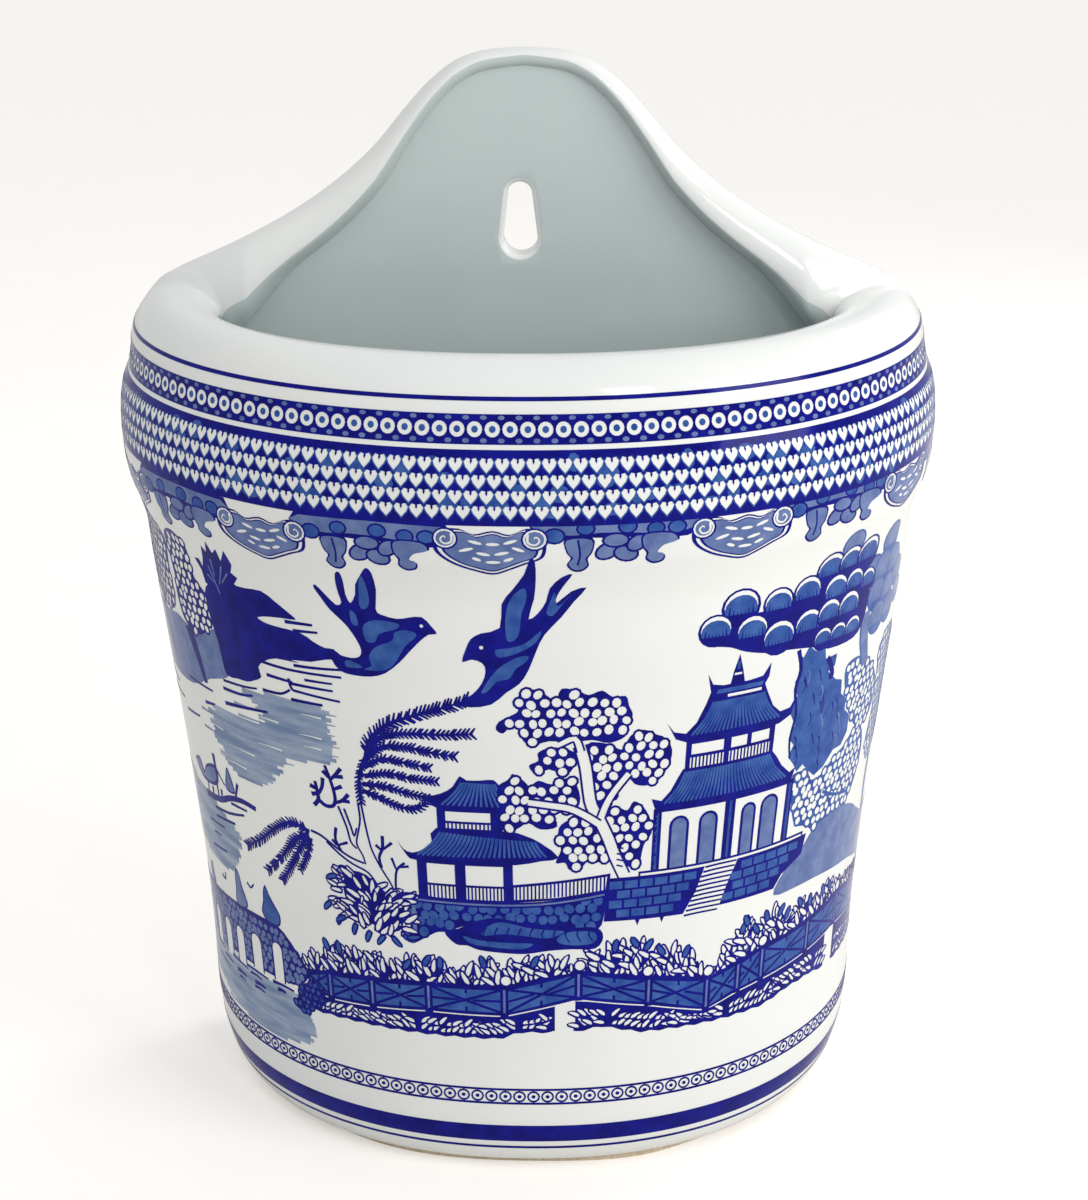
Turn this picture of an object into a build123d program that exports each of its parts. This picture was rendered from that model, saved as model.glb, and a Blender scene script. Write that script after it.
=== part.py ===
from build123d import *
import math
import os

os.makedirs("parts", exist_ok=True)

# A glazed ceramic wall vase: a half-round bucket with a flat back. The back
# rises above the mouth as a bell-shaped plate with a keyhole for a wall screw.
# It is modelled with its back on the plane y = 0, its front towards -Y and
# its foot on z = 0, and is moved at the end so that its box is centred.

# Widths, each measured straight across the flat back. The bead is the widest, and the
# others follow from how far each side is set in
bead_width = 205.0
bead_set_out = 5.3
pinch_set_in = 2.7
collar_set_in = 1.0
wall_flare = 9.6
skirt_flare = 5.6
base_flare = 2.5
wall_top_width = bead_width - 2 * bead_set_out
pinch_width = bead_width - 2 * pinch_set_in
collar_width = pinch_width - 2 * collar_set_in
skirt_width = wall_top_width - 2 * wall_flare
base_width = skirt_width - 2 * skirt_flare
foot_width = base_width - 2 * base_flare

# The plan of every level is half of a slightly squared ellipse
depth_share = 0.883
plan_power_share = 2.14
plan_steps = 3

# Heights of the bands, from the foot up, and the level above the surface that the
# vase stands on at which each one ends
foot_height = 2.2
skirt_band = 23.8
wall_band = 123.0
bead_band = 46.8
collar_band = 5.1
hump_band = 69.3
skirt_height = foot_height + skirt_band
wall_top_height = skirt_height + wall_band
bead_top_height = wall_top_height + bead_band
collar_height = bead_top_height + collar_band
total_height = collar_height + hump_band

# Thicknesses of the clay
wall_thickness = 6.5
plate_thickness = 8.0
floor_thickness = 7.0
foot_ring_width = 7.0

# The rolled rim round the front of the mouth
rim_roll_width = 20.0
rim_roll_rise = 12.5
rim_roll_drop = 7.0
rim_tuck = 12.5
rim_crest_flat = 0.6
rim_turn_shares = [0.0, 0.2, 0.4, 0.6, 0.8, 1.0]

# The lip that carries the rim on, up and over the front edge of the hump
lip_corner_depth = 16.0
lip_apex_depth = 1.6

# The keyhole, hand cut a little left of the centre line and hung from the hump's top
key_bulb_radius = 4.3
key_slot_radius = 3.05
key_slot_drop = 34.8
key_bulb_drop = 10.8
key_slot_height = total_height - key_slot_drop
key_bulb_height = key_slot_height - key_bulb_drop
key_shift = -1.4
key_edge_round = 0.9

cut_overrun = 5.0

# Share of the rise (first) and of the change of width (second) at each level
skirt_level_shares = [(0.0, 0.0), (0.2, 0.5), (0.5, 0.84), (1.0, 1.0)]
wall_level_shares = [(0.0, 0.0), (0.3, 0.12), (0.65, 0.52), (1.0, 1.0)]
bead_rise_shares = [0.0, 0.19, 0.33, 0.45, 0.57, 0.70, 0.82, 0.92, 1.0]
bead_swell_shares = [0.0, 0.11, 0.39, 0.78, 0.96, 1.0, 0.94, 0.72, 0.0]

# The hump's outer edge and the lip's inner edge, from the collar to the apex, as
# shares of the hump's half width and of its rise over the collar
hump_edge_shares = [
    (1.0, 0.0), (0.985, 0.06), (0.94, 0.138), (0.851, 0.237), (0.718, 0.335),
    (0.578, 0.442), (0.459, 0.557), (0.369, 0.672), (0.298, 0.791), (0.226, 0.893),
    (0.125, 0.973), (0.0, 1.0),
]
lip_edge_shares = [
    (0.80, 0.0), (0.778, 0.038), (0.745, 0.09), (0.702, 0.153), (0.615, 0.24),
    (0.509, 0.35), (0.407, 0.48), (0.324, 0.61), (0.253, 0.737), (0.188, 0.83),
    (0.107, 0.896), (0.0, 0.918),
]
# How far the lip stands forward, from its apex depth (0) to its corner depth (1)
lip_growth_shares = [1.0, 0.95, 0.85, 0.72, 0.56, 0.42, 0.31, 0.22, 0.14, 0.07, 0.02, 0.0]

depth = bead_width / 2 * depth_share


def plan_points(half_width, setback, height):
    """Points of the plan's right quarter, from the right end to the middle of the front."""
    half_depth = half_width * depth_share
    power = 2 / plan_power_share
    points = []
    for step in range(plan_steps + 1):
        turn = math.pi / 2 * step / plan_steps
        across = 0 if step == plan_steps else math.cos(turn) ** power
        forward = math.sin(turn) ** power
        points.append(
            (across * (half_width - setback), -forward * (half_depth - setback), height)
        )
    return points


def plan_face(half_width, setback, height):
    """The closed half plan, set back inside the outer face by a wall."""
    points = plan_points(half_width, setback, height)
    mirrored = [(-x, y, z) for x, y, z in reversed(points)]
    right = Spline(*points, tangents=[(0, -1, 0), (-1, 0, 0)])
    left = Spline(*mirrored, tangents=[(-1, 0, 0), (0, 1, 0)])
    back = Line(mirrored[-1], points[0])
    return Face(Wire([right, left, back]))


def levels(low_height, high_height, low_width, high_width, shares):
    """Height and half width of each level between two named levels."""
    rise = high_height - low_height
    growth = high_width - low_width
    return [(low_height + a * rise, (low_width + b * growth) / 2) for a, b in shares]


def bead_levels():
    """Height and half width of the bead: a straight run plus its swelling."""
    rise = bead_top_height - wall_top_height
    run = pinch_width - wall_top_width
    swell = bead_width - (wall_top_width + run * bead_rise_shares[5])
    found = []
    for along, bulge in zip(bead_rise_shares, bead_swell_shares):
        full_width = wall_top_width + run * along + swell * bulge
        found.append((wall_top_height + along * rise, full_width / 2))
    return found


skirt_levels = levels(foot_height, skirt_height, base_width, skirt_width, skirt_level_shares)
wall_levels = levels(skirt_height, wall_top_height, skirt_width, wall_top_width, wall_level_shares)
collar_levels = [(bead_top_height, pinch_width / 2), (collar_height, collar_width / 2)]
skirt_inside_levels = [skirt_levels[0], skirt_levels[2], skirt_levels[-1]]
wall_inside_levels = [wall_levels[0], wall_levels[2], wall_levels[-1]]
bead_inside_levels = [(wall_top_height, wall_top_width / 2), (bead_top_height, pinch_width / 2)]


def solid_of(level_list, setback):
    """A solid through the plan at each level, straight from one level to the next."""
    faces = [plan_face(half_width, setback, height) for height, half_width in level_list]
    return loft(faces, ruled=True)


# The two blanks that the walls and the back plate are cut from
tall = total_height + 2 * cut_overrun
wide = bead_width + 2 * cut_overrun
front_space = Pos(0, -plate_thickness, -cut_overrun) * Box(
    wide, depth + cut_overrun, tall, align=(Align.CENTER, Align.MAX, Align.MIN)
)

skirt_blank = solid_of(skirt_levels, 0)
wall_blank = solid_of(wall_levels, 0)
bead_blank = solid_of(bead_levels(), 0)
collar_blank = solid_of(collar_levels, 0)

skirt_hollow = solid_of(skirt_inside_levels, wall_thickness)
wall_hollow = solid_of(wall_inside_levels, wall_thickness)
bead_hollow = solid_of(bead_inside_levels, wall_thickness)
collar_hollow = solid_of(collar_levels, wall_thickness)


# Foot ring: the low unglazed edge that the vase was fired on
def make_foot_ring():
    outer = extrude(plan_face(foot_width / 2, 0, 0), amount=foot_height, dir=(0, 0, 1))
    inner = extrude(
        plan_face(foot_width / 2, foot_ring_width, 0), amount=foot_height, dir=(0, 0, 1)
    )
    behind = Pos(0, -foot_ring_width, 0) * Box(
        wide, depth, foot_height, align=(Align.CENTER, Align.MAX, Align.MIN)
    )
    return outer - (inner & behind)


# Floor: closes the bottom, inside the front wall and against the back plate
def make_floor_plate():
    slab = Pos(0, 0, foot_height) * Box(
        wide, 2 * depth, floor_thickness, align=(Align.CENTER, Align.CENTER, Align.MIN)
    )
    return skirt_hollow & slab & front_space


# Front wall: rounded in at its lower edge and flared towards the bead
def make_front_wall():
    blank = skirt_blank + wall_blank
    return (blank - skirt_hollow - wall_hollow) & front_space


# Bead: the swelling below the collar that carries the hearts
def make_bead():
    return (bead_blank - bead_hollow) & front_space


# Collar: the straight band between the bead and the rim
def make_collar():
    return (collar_blank - collar_hollow) & front_space


# The hump's outline and the lip that follows it
hump_half_width = collar_width / 2
hump_rise = total_height - collar_height


def hump_points(side, shares):
    """Points of the hump's outline on one side, from the collar to the apex."""
    return [
        Vector(side * a * hump_half_width, 0, collar_height + b * hump_rise)
        for a, b in shares
    ]


def lip_ring(outer, inner, growth):
    """A half-round arch seated on the plate's front: the lip's section at one place."""
    across = outer - inner
    seat = (outer + inner) * 0.5 - Vector(0, plate_thickness, 0)
    through = lip_apex_depth + growth * (lip_corner_depth - lip_apex_depth)
    plane = Plane(origin=seat, x_dir=across, z_dir=across.cross(Vector(0, 1, 0)))
    half = across.length / 2
    arch = Spline((-half, 0), (0, -through), (half, 0), tangents=[(0, -1), (0, 1)])
    return plane * Face(Wire([arch, Line(arch @ 1, arch @ 0)]))


# Hump lip: the roll carried on from the rim, up and over the edge of the hump
def make_hump_lip():
    """The lip over the whole hump, from the right corner to the left one."""
    outer = hump_points(1, hump_edge_shares)
    inner = hump_points(1, lip_edge_shares)
    rings = [lip_ring(*place) for place in zip(outer, inner, lip_growth_shares)]
    rings += [mirror(ring, about=Plane.YZ) for ring in reversed(rings[:-1])]
    return loft(rings, ruled=True)


def make_hump_plate():
    """The plate above the collar, out to the hump's edge."""
    left = hump_points(-1, hump_edge_shares)
    outline = hump_points(1, hump_edge_shares) + list(reversed(left[:-1]))
    edge = Spline(*outline)
    border = Wire([edge, Line(outline[-1], outline[0])])
    return extrude(Face(border), amount=plate_thickness, dir=(0, -1, 0))


def make_keyhole():
    """The bulb that a screw head passes and the slot that its shank slides up."""
    through = plate_thickness + 2 * cut_overrun
    centre = (key_bulb_height + key_slot_height) / 2
    plane = Plane(origin=(key_shift, cut_overrun, centre), x_dir=(1, 0, 0), z_dir=(0, -1, 0))
    half_pitch = (key_slot_height - key_bulb_height) / 2
    bulb = Pos(0, -half_pitch) * Circle(key_bulb_radius)
    slot = Pos(0, half_pitch) * Circle(key_slot_radius)
    outline = make_hull((bulb + slot).edges())
    return extrude(plane * outline, amount=through)


# Back plate: the flat back, from the foot to the hump, with the keyhole
def make_back_plate():
    back_space = Pos(0, 0, -cut_overrun) * Box(
        wide, 2 * plate_thickness, tall, align=(Align.CENTER, Align.CENTER, Align.MIN)
    )
    lower = (skirt_blank + wall_blank + bead_blank + collar_blank) & back_space
    plate = lower + make_hump_plate() - make_keyhole()
    front_rim_of_hole = plate.edges().filter_by_position(
        Axis.Z, key_bulb_height - 2 * key_bulb_radius, key_slot_height + 2 * key_slot_radius
    ).filter_by_position(
        Axis.X, key_shift - 2 * key_bulb_radius, key_shift + 2 * key_bulb_radius
    ).filter_by_position(Axis.Y, -plate_thickness - key_edge_round, -plate_thickness / 2)
    return fillet(front_rim_of_hole, key_edge_round)


# Front rim: the thick roll round the mouth, seated on the collar
def rolled_faces(outer_setback, crest_setback, seat_height, rise):
    """Plan faces over a quarter turn, from the side of the roll to its crest."""
    faces = []
    for share in rim_turn_shares:
        turn = share * math.pi / 2
        setback = crest_setback + (outer_setback - crest_setback) * math.cos(turn)
        height = seat_height + rise * math.sin(turn)
        faces.append(plan_face(collar_width / 2, setback, height))
    return faces


def make_front_rim(lip):
    """Over the collar, into the mouth, tucked back to the wall, and fitted to the lip."""
    crest_out = (rim_roll_width - rim_crest_flat) / 2
    crest_in = (rim_roll_width + rim_crest_flat) / 2
    outer_turn = rolled_faces(0, crest_out, collar_height, rim_roll_rise)
    inner_turn = rolled_faces(rim_roll_width, crest_in, collar_height, rim_roll_rise)
    lower_turn = rolled_faces(rim_roll_width, rim_tuck, collar_height, -rim_roll_drop)
    seat_faces = [
        plan_face(collar_width / 2, rim_tuck, collar_height - rim_roll_drop),
        plan_face(collar_width / 2, wall_thickness, collar_height),
    ]
    cap = loft(outer_turn, ruled=True) & front_space
    funnel = loft(inner_turn, ruled=True)
    tuck = loft(seat_faces, ruled=True) & front_space
    under = loft(lower_turn, ruled=True)
    return cap - funnel - lip + (tuck - under)


foot_ring = make_foot_ring()
floor_plate = make_floor_plate()
front_wall = make_front_wall()
bead = make_bead()
collar = make_collar()
back_plate = make_back_plate()
hump_lip = make_hump_lip()
front_rim = make_front_rim(hump_lip)

centred = Location((0, depth / 2, 0))
pieces = {
    "foot_ring": foot_ring,
    "floor_plate": floor_plate,
    "front_wall": front_wall,
    "heart_bead": bead,
    "ring_collar": collar,
    "back_plate": back_plate,
    "hump_lip": hump_lip,
    "front_rim": front_rim,
}
for name, piece in pieces.items():
    placed = centred * piece
    export_step(placed, f"parts/{name}.step")
    print(name, round(placed.volume), placed.is_valid, len(placed.solids()))
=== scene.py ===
# %% [markdown]
# # A printed wall vase
# The object is a half-round vase with a flat back that hangs on a screw. It is one
# piece of white earthenware with a clear glaze, and a blue landscape is printed round
# its front. The scene loads the measured solids first, and every visible piece is then
# made over them in the same millimetres, so the picture and the solids stay together.

# %% Load the frame and keep its box
import math

import bpy
import numpy as np
from mathutils import Matrix, Vector
from mathutils.geometry import delaunay_2d_cdt


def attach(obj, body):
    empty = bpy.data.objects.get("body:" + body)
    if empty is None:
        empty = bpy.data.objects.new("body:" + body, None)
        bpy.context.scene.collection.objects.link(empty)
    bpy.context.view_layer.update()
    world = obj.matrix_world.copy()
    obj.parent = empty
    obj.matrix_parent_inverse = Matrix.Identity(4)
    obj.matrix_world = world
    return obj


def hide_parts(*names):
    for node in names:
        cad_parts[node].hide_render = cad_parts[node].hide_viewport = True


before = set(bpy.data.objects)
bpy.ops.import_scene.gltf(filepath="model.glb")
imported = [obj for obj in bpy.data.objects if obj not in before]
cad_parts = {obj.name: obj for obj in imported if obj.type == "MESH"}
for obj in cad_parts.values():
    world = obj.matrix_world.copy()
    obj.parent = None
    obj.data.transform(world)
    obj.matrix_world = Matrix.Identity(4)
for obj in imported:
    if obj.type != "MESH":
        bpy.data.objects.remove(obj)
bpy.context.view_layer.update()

MM = 0.001


# %% [markdown]
# ## The camera
# The camera stands a little right of the middle and looks down at the vase. Its place,
# its turn and its lens were worked out from the curved bands and from the flat back,
# so that every ring of the model falls on the same ring of the photograph.

# %% Place the camera
back_plane = 45.254
eye = np.array([24.94, -544.33 + back_plane, 337.11])
yaw, pitch, roll = (math.radians(a) for a in (-2.2317, -21.1325, -0.2975))
focal_pixels, photo_width_pixels, sensor_width = 2207.46, 1088, 36

ahead = Vector((math.sin(yaw) * math.cos(pitch), math.cos(yaw) * math.cos(pitch), math.sin(pitch)))
level_right = Vector((math.cos(yaw), -math.sin(yaw), 0))
level_up = level_right.cross(ahead)
right = math.cos(roll) * level_right + math.sin(roll) * level_up
up = -math.sin(roll) * level_right + math.cos(roll) * level_up

bpy.ops.object.select_all(action="DESELECT")
bpy.ops.object.camera_add()
camera = bpy.context.object
turned = Matrix((right, up, -ahead)).transposed().to_4x4()
camera.matrix_world = Matrix.Translation(Vector(eye) * MM) @ turned
camera.data.sensor_fit = "HORIZONTAL"
camera.data.sensor_width = sensor_width
camera.data.lens = focal_pixels / photo_width_pixels * sensor_width
camera.data.clip_start = 0.01
bpy.context.scene.camera = camera
print("lens", round(camera.data.lens, 2), "mm at", [round(v) for v in eye], "mm")


# %% [markdown]
# ## Light, floor and background
# The photograph has one broad window on the right and a pale room round the rest, so
# the shaded side of the glaze is a soft grey and the right side is nearly white. A
# large area lamp stands for the window. A small one in front gives the bright patches
# on the bands, and one behind on the right whitens the top of the rim. The world is an
# even pale light.

# %% Set the world
bpy.context.scene.view_settings.view_transform = "Standard"
world = bpy.data.worlds.new("pale_room")
bpy.context.scene.world = world
world.use_nodes = True
tree = world.node_tree
tree.nodes.clear()
room = tree.nodes.new("ShaderNodeBackground")
room.inputs["Color"].default_value = (0.975, 0.985, 1.0, 1)
room.inputs["Strength"].default_value = 0.72
seen = tree.nodes.new("ShaderNodeBackground")
seen.inputs["Color"].default_value = (0.99, 0.98, 0.96, 1)
path = tree.nodes.new("ShaderNodeLightPath")
choose = tree.nodes.new("ShaderNodeMixShader")
out = tree.nodes.new("ShaderNodeOutputWorld")
tree.links.new(path.outputs["Is Camera Ray"], choose.inputs["Fac"])
tree.links.new(room.outputs[0], choose.inputs[1])
tree.links.new(seen.outputs[0], choose.inputs[2])
tree.links.new(choose.outputs[0], out.inputs["Surface"])
print("world strength", room.inputs["Strength"].default_value)

# %% Set the window and the small lamp
def hang_lamp(name, place, target, width, height, power, colour):
    bpy.ops.object.light_add(type="AREA")
    lamp = bpy.context.object
    lamp.name = name
    lamp.data.shape = "RECTANGLE"
    lamp.data.size = width
    lamp.data.size_y = height
    lamp.data.energy = power
    lamp.data.color = colour
    lamp.location = place
    lamp.rotation_euler = (Vector(target) - Vector(place)).to_track_quat("-Z", "Y").to_euler()
    print(name, power, "W")


hang_lamp("window", (0.85, -0.45, 0.62), (0, 0, 0.13), 0.5, 0.6, 5.0, (1.0, 0.99, 0.97))
hang_lamp("far_window", (0.35, -0.75, 0.75), (0, 0, 0.2), 0.16, 0.22, 0.9, (1.0, 1.0, 1.0))
hang_lamp("back_window", (0.62, 0.60, 0.52), (0.05, 0, 0.2), 0.5, 0.45, 2.2, (1.0, 0.99, 0.97))

# %% Lay the floor
def new_material(name):
    material = bpy.data.materials.new(name)
    material.use_nodes = True
    nodes = material.node_tree.nodes
    return material, nodes, material.node_tree.links, nodes["Principled BSDF"]


def noise_on_place(nodes, links, scale, detail=3, stretch=(1, 1, 1)):
    """Noise that is fixed to the object, so it moves with it."""
    place = nodes.new("ShaderNodeTexCoord")
    mapping = nodes.new("ShaderNodeMapping")
    mapping.inputs["Scale"].default_value = stretch
    noise = nodes.new("ShaderNodeTexNoise")
    noise.inputs["Scale"].default_value = scale
    noise.inputs["Detail"].default_value = detail
    links.new(place.outputs["Object"], mapping.inputs["Vector"])
    links.new(mapping.outputs["Vector"], noise.inputs["Vector"])
    return noise.outputs["Fac"]


def blend_colours(nodes, links, factor, stops):
    """A colour ramp from a noise to the colours of a finish."""
    ramp = nodes.new("ShaderNodeValToRGB")
    while len(ramp.color_ramp.elements) < len(stops):
        ramp.color_ramp.elements.new(0.5)
    for element, (place, colour) in zip(ramp.color_ramp.elements, stops):
        element.position = place
        element.color = (*colour, 1)
    links.new(factor, ramp.inputs["Fac"])
    return ramp.outputs["Color"]


def raise_surface(nodes, links, shader, height, strength, distance):
    bump = nodes.new("ShaderNodeBump")
    bump.inputs["Strength"].default_value = strength
    bump.inputs["Distance"].default_value = distance
    links.new(height, bump.inputs["Height"])
    links.new(bump.outputs["Normal"], shader.inputs["Normal"])


paper, nodes, links, shader = new_material("pale_floor")
grain = noise_on_place(nodes, links, 35)
tint = blend_colours(nodes, links, grain, [(0.3, (0.80, 0.77, 0.73)), (0.7, (0.82, 0.79, 0.75))])
links.new(tint, shader.inputs["Base Color"])
shader.inputs["Roughness"].default_value = 0.75
glow = nodes.new("ShaderNodeEmission")
glow.inputs["Color"].default_value = (1.0, 0.985, 0.965, 1)
glow.inputs["Strength"].default_value = 0.33
both = nodes.new("ShaderNodeAddShader")
links.new(shader.outputs[0], both.inputs[0])
links.new(glow.outputs[0], both.inputs[1])
path = nodes.new("ShaderNodeLightPath")
choose = nodes.new("ShaderNodeMixShader")
links.new(path.outputs["Is Camera Ray"], choose.inputs["Fac"])
links.new(shader.outputs[0], choose.inputs[1])
links.new(both.outputs[0], choose.inputs[2])
links.new(choose.outputs[0], nodes["Material Output"].inputs["Surface"])

bpy.ops.object.select_all(action="DESELECT")
bpy.ops.mesh.primitive_plane_add(size=6)
floor = bpy.context.object
floor.name = "floor"
floor.data.materials.append(paper)
print("floor", floor.dimensions.x, "m wide")


# %% [markdown]
# ## The shape of the wall
# A potter draws the side view of a vase first. Here it is a list of heights with half
# the width of the vase at each, and a curve through them that never overshoots. The
# view from above is half of a slightly squared ellipse with a flat back. Together they
# give the place of any point of the front wall.

# %% The side view
skin = 0.12
profile_heights = np.array([
    0, 2.2, 5, 9.8, 17, 26, 40, 62, 85, 116, 149, 157.9, 164.4, 170.1, 175.7, 181.8,
    187.4, 192.1, 195.8, 200.9,
])
profile_widths = np.array([
    79.6, 82, 83.9, 85.7, 87.1, 87.6, 87.75, 88.9, 90.8, 93.8, 97.2, 97.95, 99.6, 101.5,
    102.3, 102.5, 102.2, 101.3, 99.8, 98.8,
]) - skin


def easy_slopes(heights, widths):
    """Slopes at each height that keep the curve between its two neighbours."""
    gap = np.diff(heights)
    rise = np.diff(widths) / gap
    slopes = np.concatenate([[rise[0]], np.zeros(len(rise) - 1), [rise[-1]]])
    for k in range(1, len(rise)):
        if rise[k - 1] * rise[k] > 0:
            low, high = 2 * gap[k] + gap[k - 1], gap[k] + 2 * gap[k - 1]
            slopes[k] = (low + high) / (low / rise[k - 1] + high / rise[k])
    return slopes


profile_slopes = easy_slopes(profile_heights, profile_widths)


def half_width(height):
    z = np.clip(height, profile_heights[0], profile_heights[-1])
    k = np.clip(np.searchsorted(profile_heights, z, "right") - 1, 0, len(profile_heights) - 2)
    gap = profile_heights[k + 1] - profile_heights[k]
    t = (z - profile_heights[k]) / gap
    start = profile_widths[k] * (1 + 2 * t) * (1 - t) ** 2 + profile_slopes[k] * gap * t * (1 - t) ** 2
    end = profile_widths[k + 1] * t * t * (3 - 2 * t) + profile_slopes[k + 1] * gap * t * t * (t - 1)
    return start + end


print("half width at the bead", half_width(np.array([181.8])))

# %% The view from above
depth_share, squareness, girth_scale = 0.883, 2.14, 95.0
turns = np.linspace(0, math.pi, 8001)
plan_x = np.sign(np.cos(turns)) * np.abs(np.cos(turns)) ** (2 / squareness)
plan_y = -np.abs(np.sin(turns)) ** (2 / squareness)
steps = np.hypot(np.diff(plan_x), depth_share * np.diff(plan_y))
plan_length = np.concatenate([[0], np.cumsum(steps)])


def plan_at(across):
    """Unit plan at a distance across the print, right of the middle is positive."""
    along = plan_length[-1] / 2 - np.asarray(across, float) / girth_scale
    return np.interp(along, plan_length, plan_x), np.interp(along, plan_length, plan_y)


half_girth = plan_length[-1] / 2 * girth_scale
print("the print is", round(2 * half_girth, 1), "mm round")

# %% The roll round the mouth
collar_top, crest_height, inner_height = 200.9, 213.4, 207.0
roll_width, corner_x, corner_y = 20.0, 75.5, 15.0
collar_half = float(half_width(np.array([collar_top]))[0])


def roll_inside(ux, uy):
    """Innermost point of the roll at a place of the plan, kept clear of the back."""
    x = np.abs(ux) * (collar_half - roll_width)
    soft = 4.0
    x = np.where(x > corner_x - soft, corner_x - soft + soft * np.tanh((x - corner_x + soft) / soft), x)
    y = np.abs(uy) * (collar_half * depth_share - roll_width)
    return np.sign(ux) * x, -((y**4 + corner_y**4) ** 0.25)


def wall_point(across, height):
    """A point of the outer skin, on the wall or on the outer side of the roll."""
    ux, uy = plan_at(across)
    half = half_width(np.minimum(height, collar_top))
    x, y = ux * half, uy * half * depth_share
    over = np.clip((height - collar_top) / (crest_height - collar_top), 0, 0.999)
    share = (1 - np.sqrt(1 - over**2)) / 2
    inner_x, inner_y = roll_inside(ux, uy)
    return np.stack([x + (inner_x - x) * share, y + (inner_y - y) * share, height], axis=-1)


def wall_normal(across, height):
    small = 0.05
    sideways = wall_point(across + small, height) - wall_point(across - small, height)
    upwards = wall_point(across, height + small) - wall_point(across, height - small)
    normal = np.cross(sideways, upwards)
    return normal / np.linalg.norm(normal, axis=-1, keepdims=True)


def to_scene(points):
    """From millimetres with the back on y = 0 to the frame's metres."""
    return (points + np.array([0, back_plane, 0])) * MM


print("front of the collar", wall_point(np.array([0.0]), np.array([collar_top])))


# %% [markdown]
# ## The body
# The real body is cast in one piece: wall, bead and collar, the rolled rim, and the
# back plate with its hump. The rim runs on over the hump as a lip. Here it is one
# closed skin as well. Columns run round the plan and rows run up the outside, over the
# roll and down the inside to the floor. A mesh from its own rows was chosen because
# the roll changes its width, height and drop at every place, which no bevel can do.

# %% Columns round the plan
front_count, corner_count, back_count = 161, 10, 91
end_length = np.interp(3.0 / (collar_half * depth_share), -plan_y[:4000], plan_length[:4000])
front_reach = half_girth - end_length * girth_scale
front_s = np.linspace(front_reach, -front_reach, front_count)
front_x, front_y = plan_at(front_s)
edge_x, edge_y = front_x[0], -front_y[0] * depth_share
corner_turn = np.linspace(0, 1, corner_count + 2)[1:-1]
back_u = np.linspace(-1, 1, back_count)
columns = front_count + back_count + 2 * corner_count
is_back = np.zeros(columns)
is_back[front_count:front_count + corner_count] = corner_turn
is_back[front_count + corner_count:-corner_count] = 1
is_back[-corner_count:] = 1 - corner_turn
print(columns, "columns, front reach", round(front_reach, 1))


def outer_loop(half):
    """The closed plan for one half width per column."""
    x, y = np.zeros(columns), np.zeros(columns)
    radius = edge_y * half
    flat = edge_x * half - radius
    a, b = front_count, front_count + corner_count
    x[:a], y[:a] = front_x * half[:a], front_y * depth_share * half[:a]
    left = math.pi - corner_turn * math.pi / 2
    x[a:b], y[a:b] = -flat[a:b] + radius[a:b] * np.cos(left), -radius[a:b] + radius[a:b] * np.sin(left)
    x[b:-corner_count] = back_u * flat[b:-corner_count]
    far = (1 - corner_turn) * math.pi / 2
    x[-corner_count:] = flat[-corner_count:] + radius[-corner_count:] * np.cos(far)
    y[-corner_count:] = -radius[-corner_count:] + radius[-corner_count:] * np.sin(far)
    return x, y


# %% The hump's edge and the lip over it
outline_z = np.array([270.2, 269.7, 267.7, 262.5, 255.7, 247.5, 239.5, 231.5, 224.1, 217.3, 210.5, 205,
    200.9])
outline_x = np.array([0, 8.5, 15.7, 23, 29.4, 36.4, 45.3, 57, 70.8, 83.9, 92.5, 96.9, 98.7])
outline_slopes = easy_slopes(outline_x, outline_z)
outline_slopes[0] = 0


def crest_over(x):
    """Height of the hump's edge at a distance from the middle."""
    x = np.clip(np.abs(x), 0, outline_x[-1])
    k = np.clip(np.searchsorted(outline_x, x, "right") - 1, 0, len(outline_x) - 2)
    gap = outline_x[k + 1] - outline_x[k]
    t = (x - outline_x[k]) / gap
    start = outline_z[k] * (1 + 2 * t) * (1 - t) ** 2 + outline_slopes[k] * gap * t * (1 - t) ** 2
    end = outline_z[k + 1] * t * t * (3 - 2 * t) + outline_slopes[k + 1] * gap * t * t * (t - 1)
    return start + end


lip_places = [0, 12, 22, 29, 36, 45, 57, 70, 86]
lip_depths = [9.3, 9.8, 10.8, 11.5, 12.5, 13.5, 15, 17, 15]
lip_drops = [1.3, 2, 4, 6, 8, 9, 10, 13, 10]

outer_x, outer_y = outer_loop(np.full(columns, collar_half))
lip_in_x, lip_in_y = np.zeros(columns), np.zeros(columns)
lip_in_x[:front_count], lip_in_y[:front_count] = roll_inside(front_x, front_y)
reach = np.abs(outer_x)
pulled = np.where(reach > 62, 62 + 13.5 * np.tanh((reach - 62) / 20.0), reach)
back_in_x = np.sign(outer_x) * pulled
middle_x = (outer_x + back_in_x) / 2
back_in_y = -np.interp(np.abs(middle_x), lip_places, lip_depths)
beyond = is_back > 0
lip_in_x[beyond] = back_in_x[beyond]
lip_in_y[beyond] = back_in_y[beyond]
corner_back = crest_over(middle_x)

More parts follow.
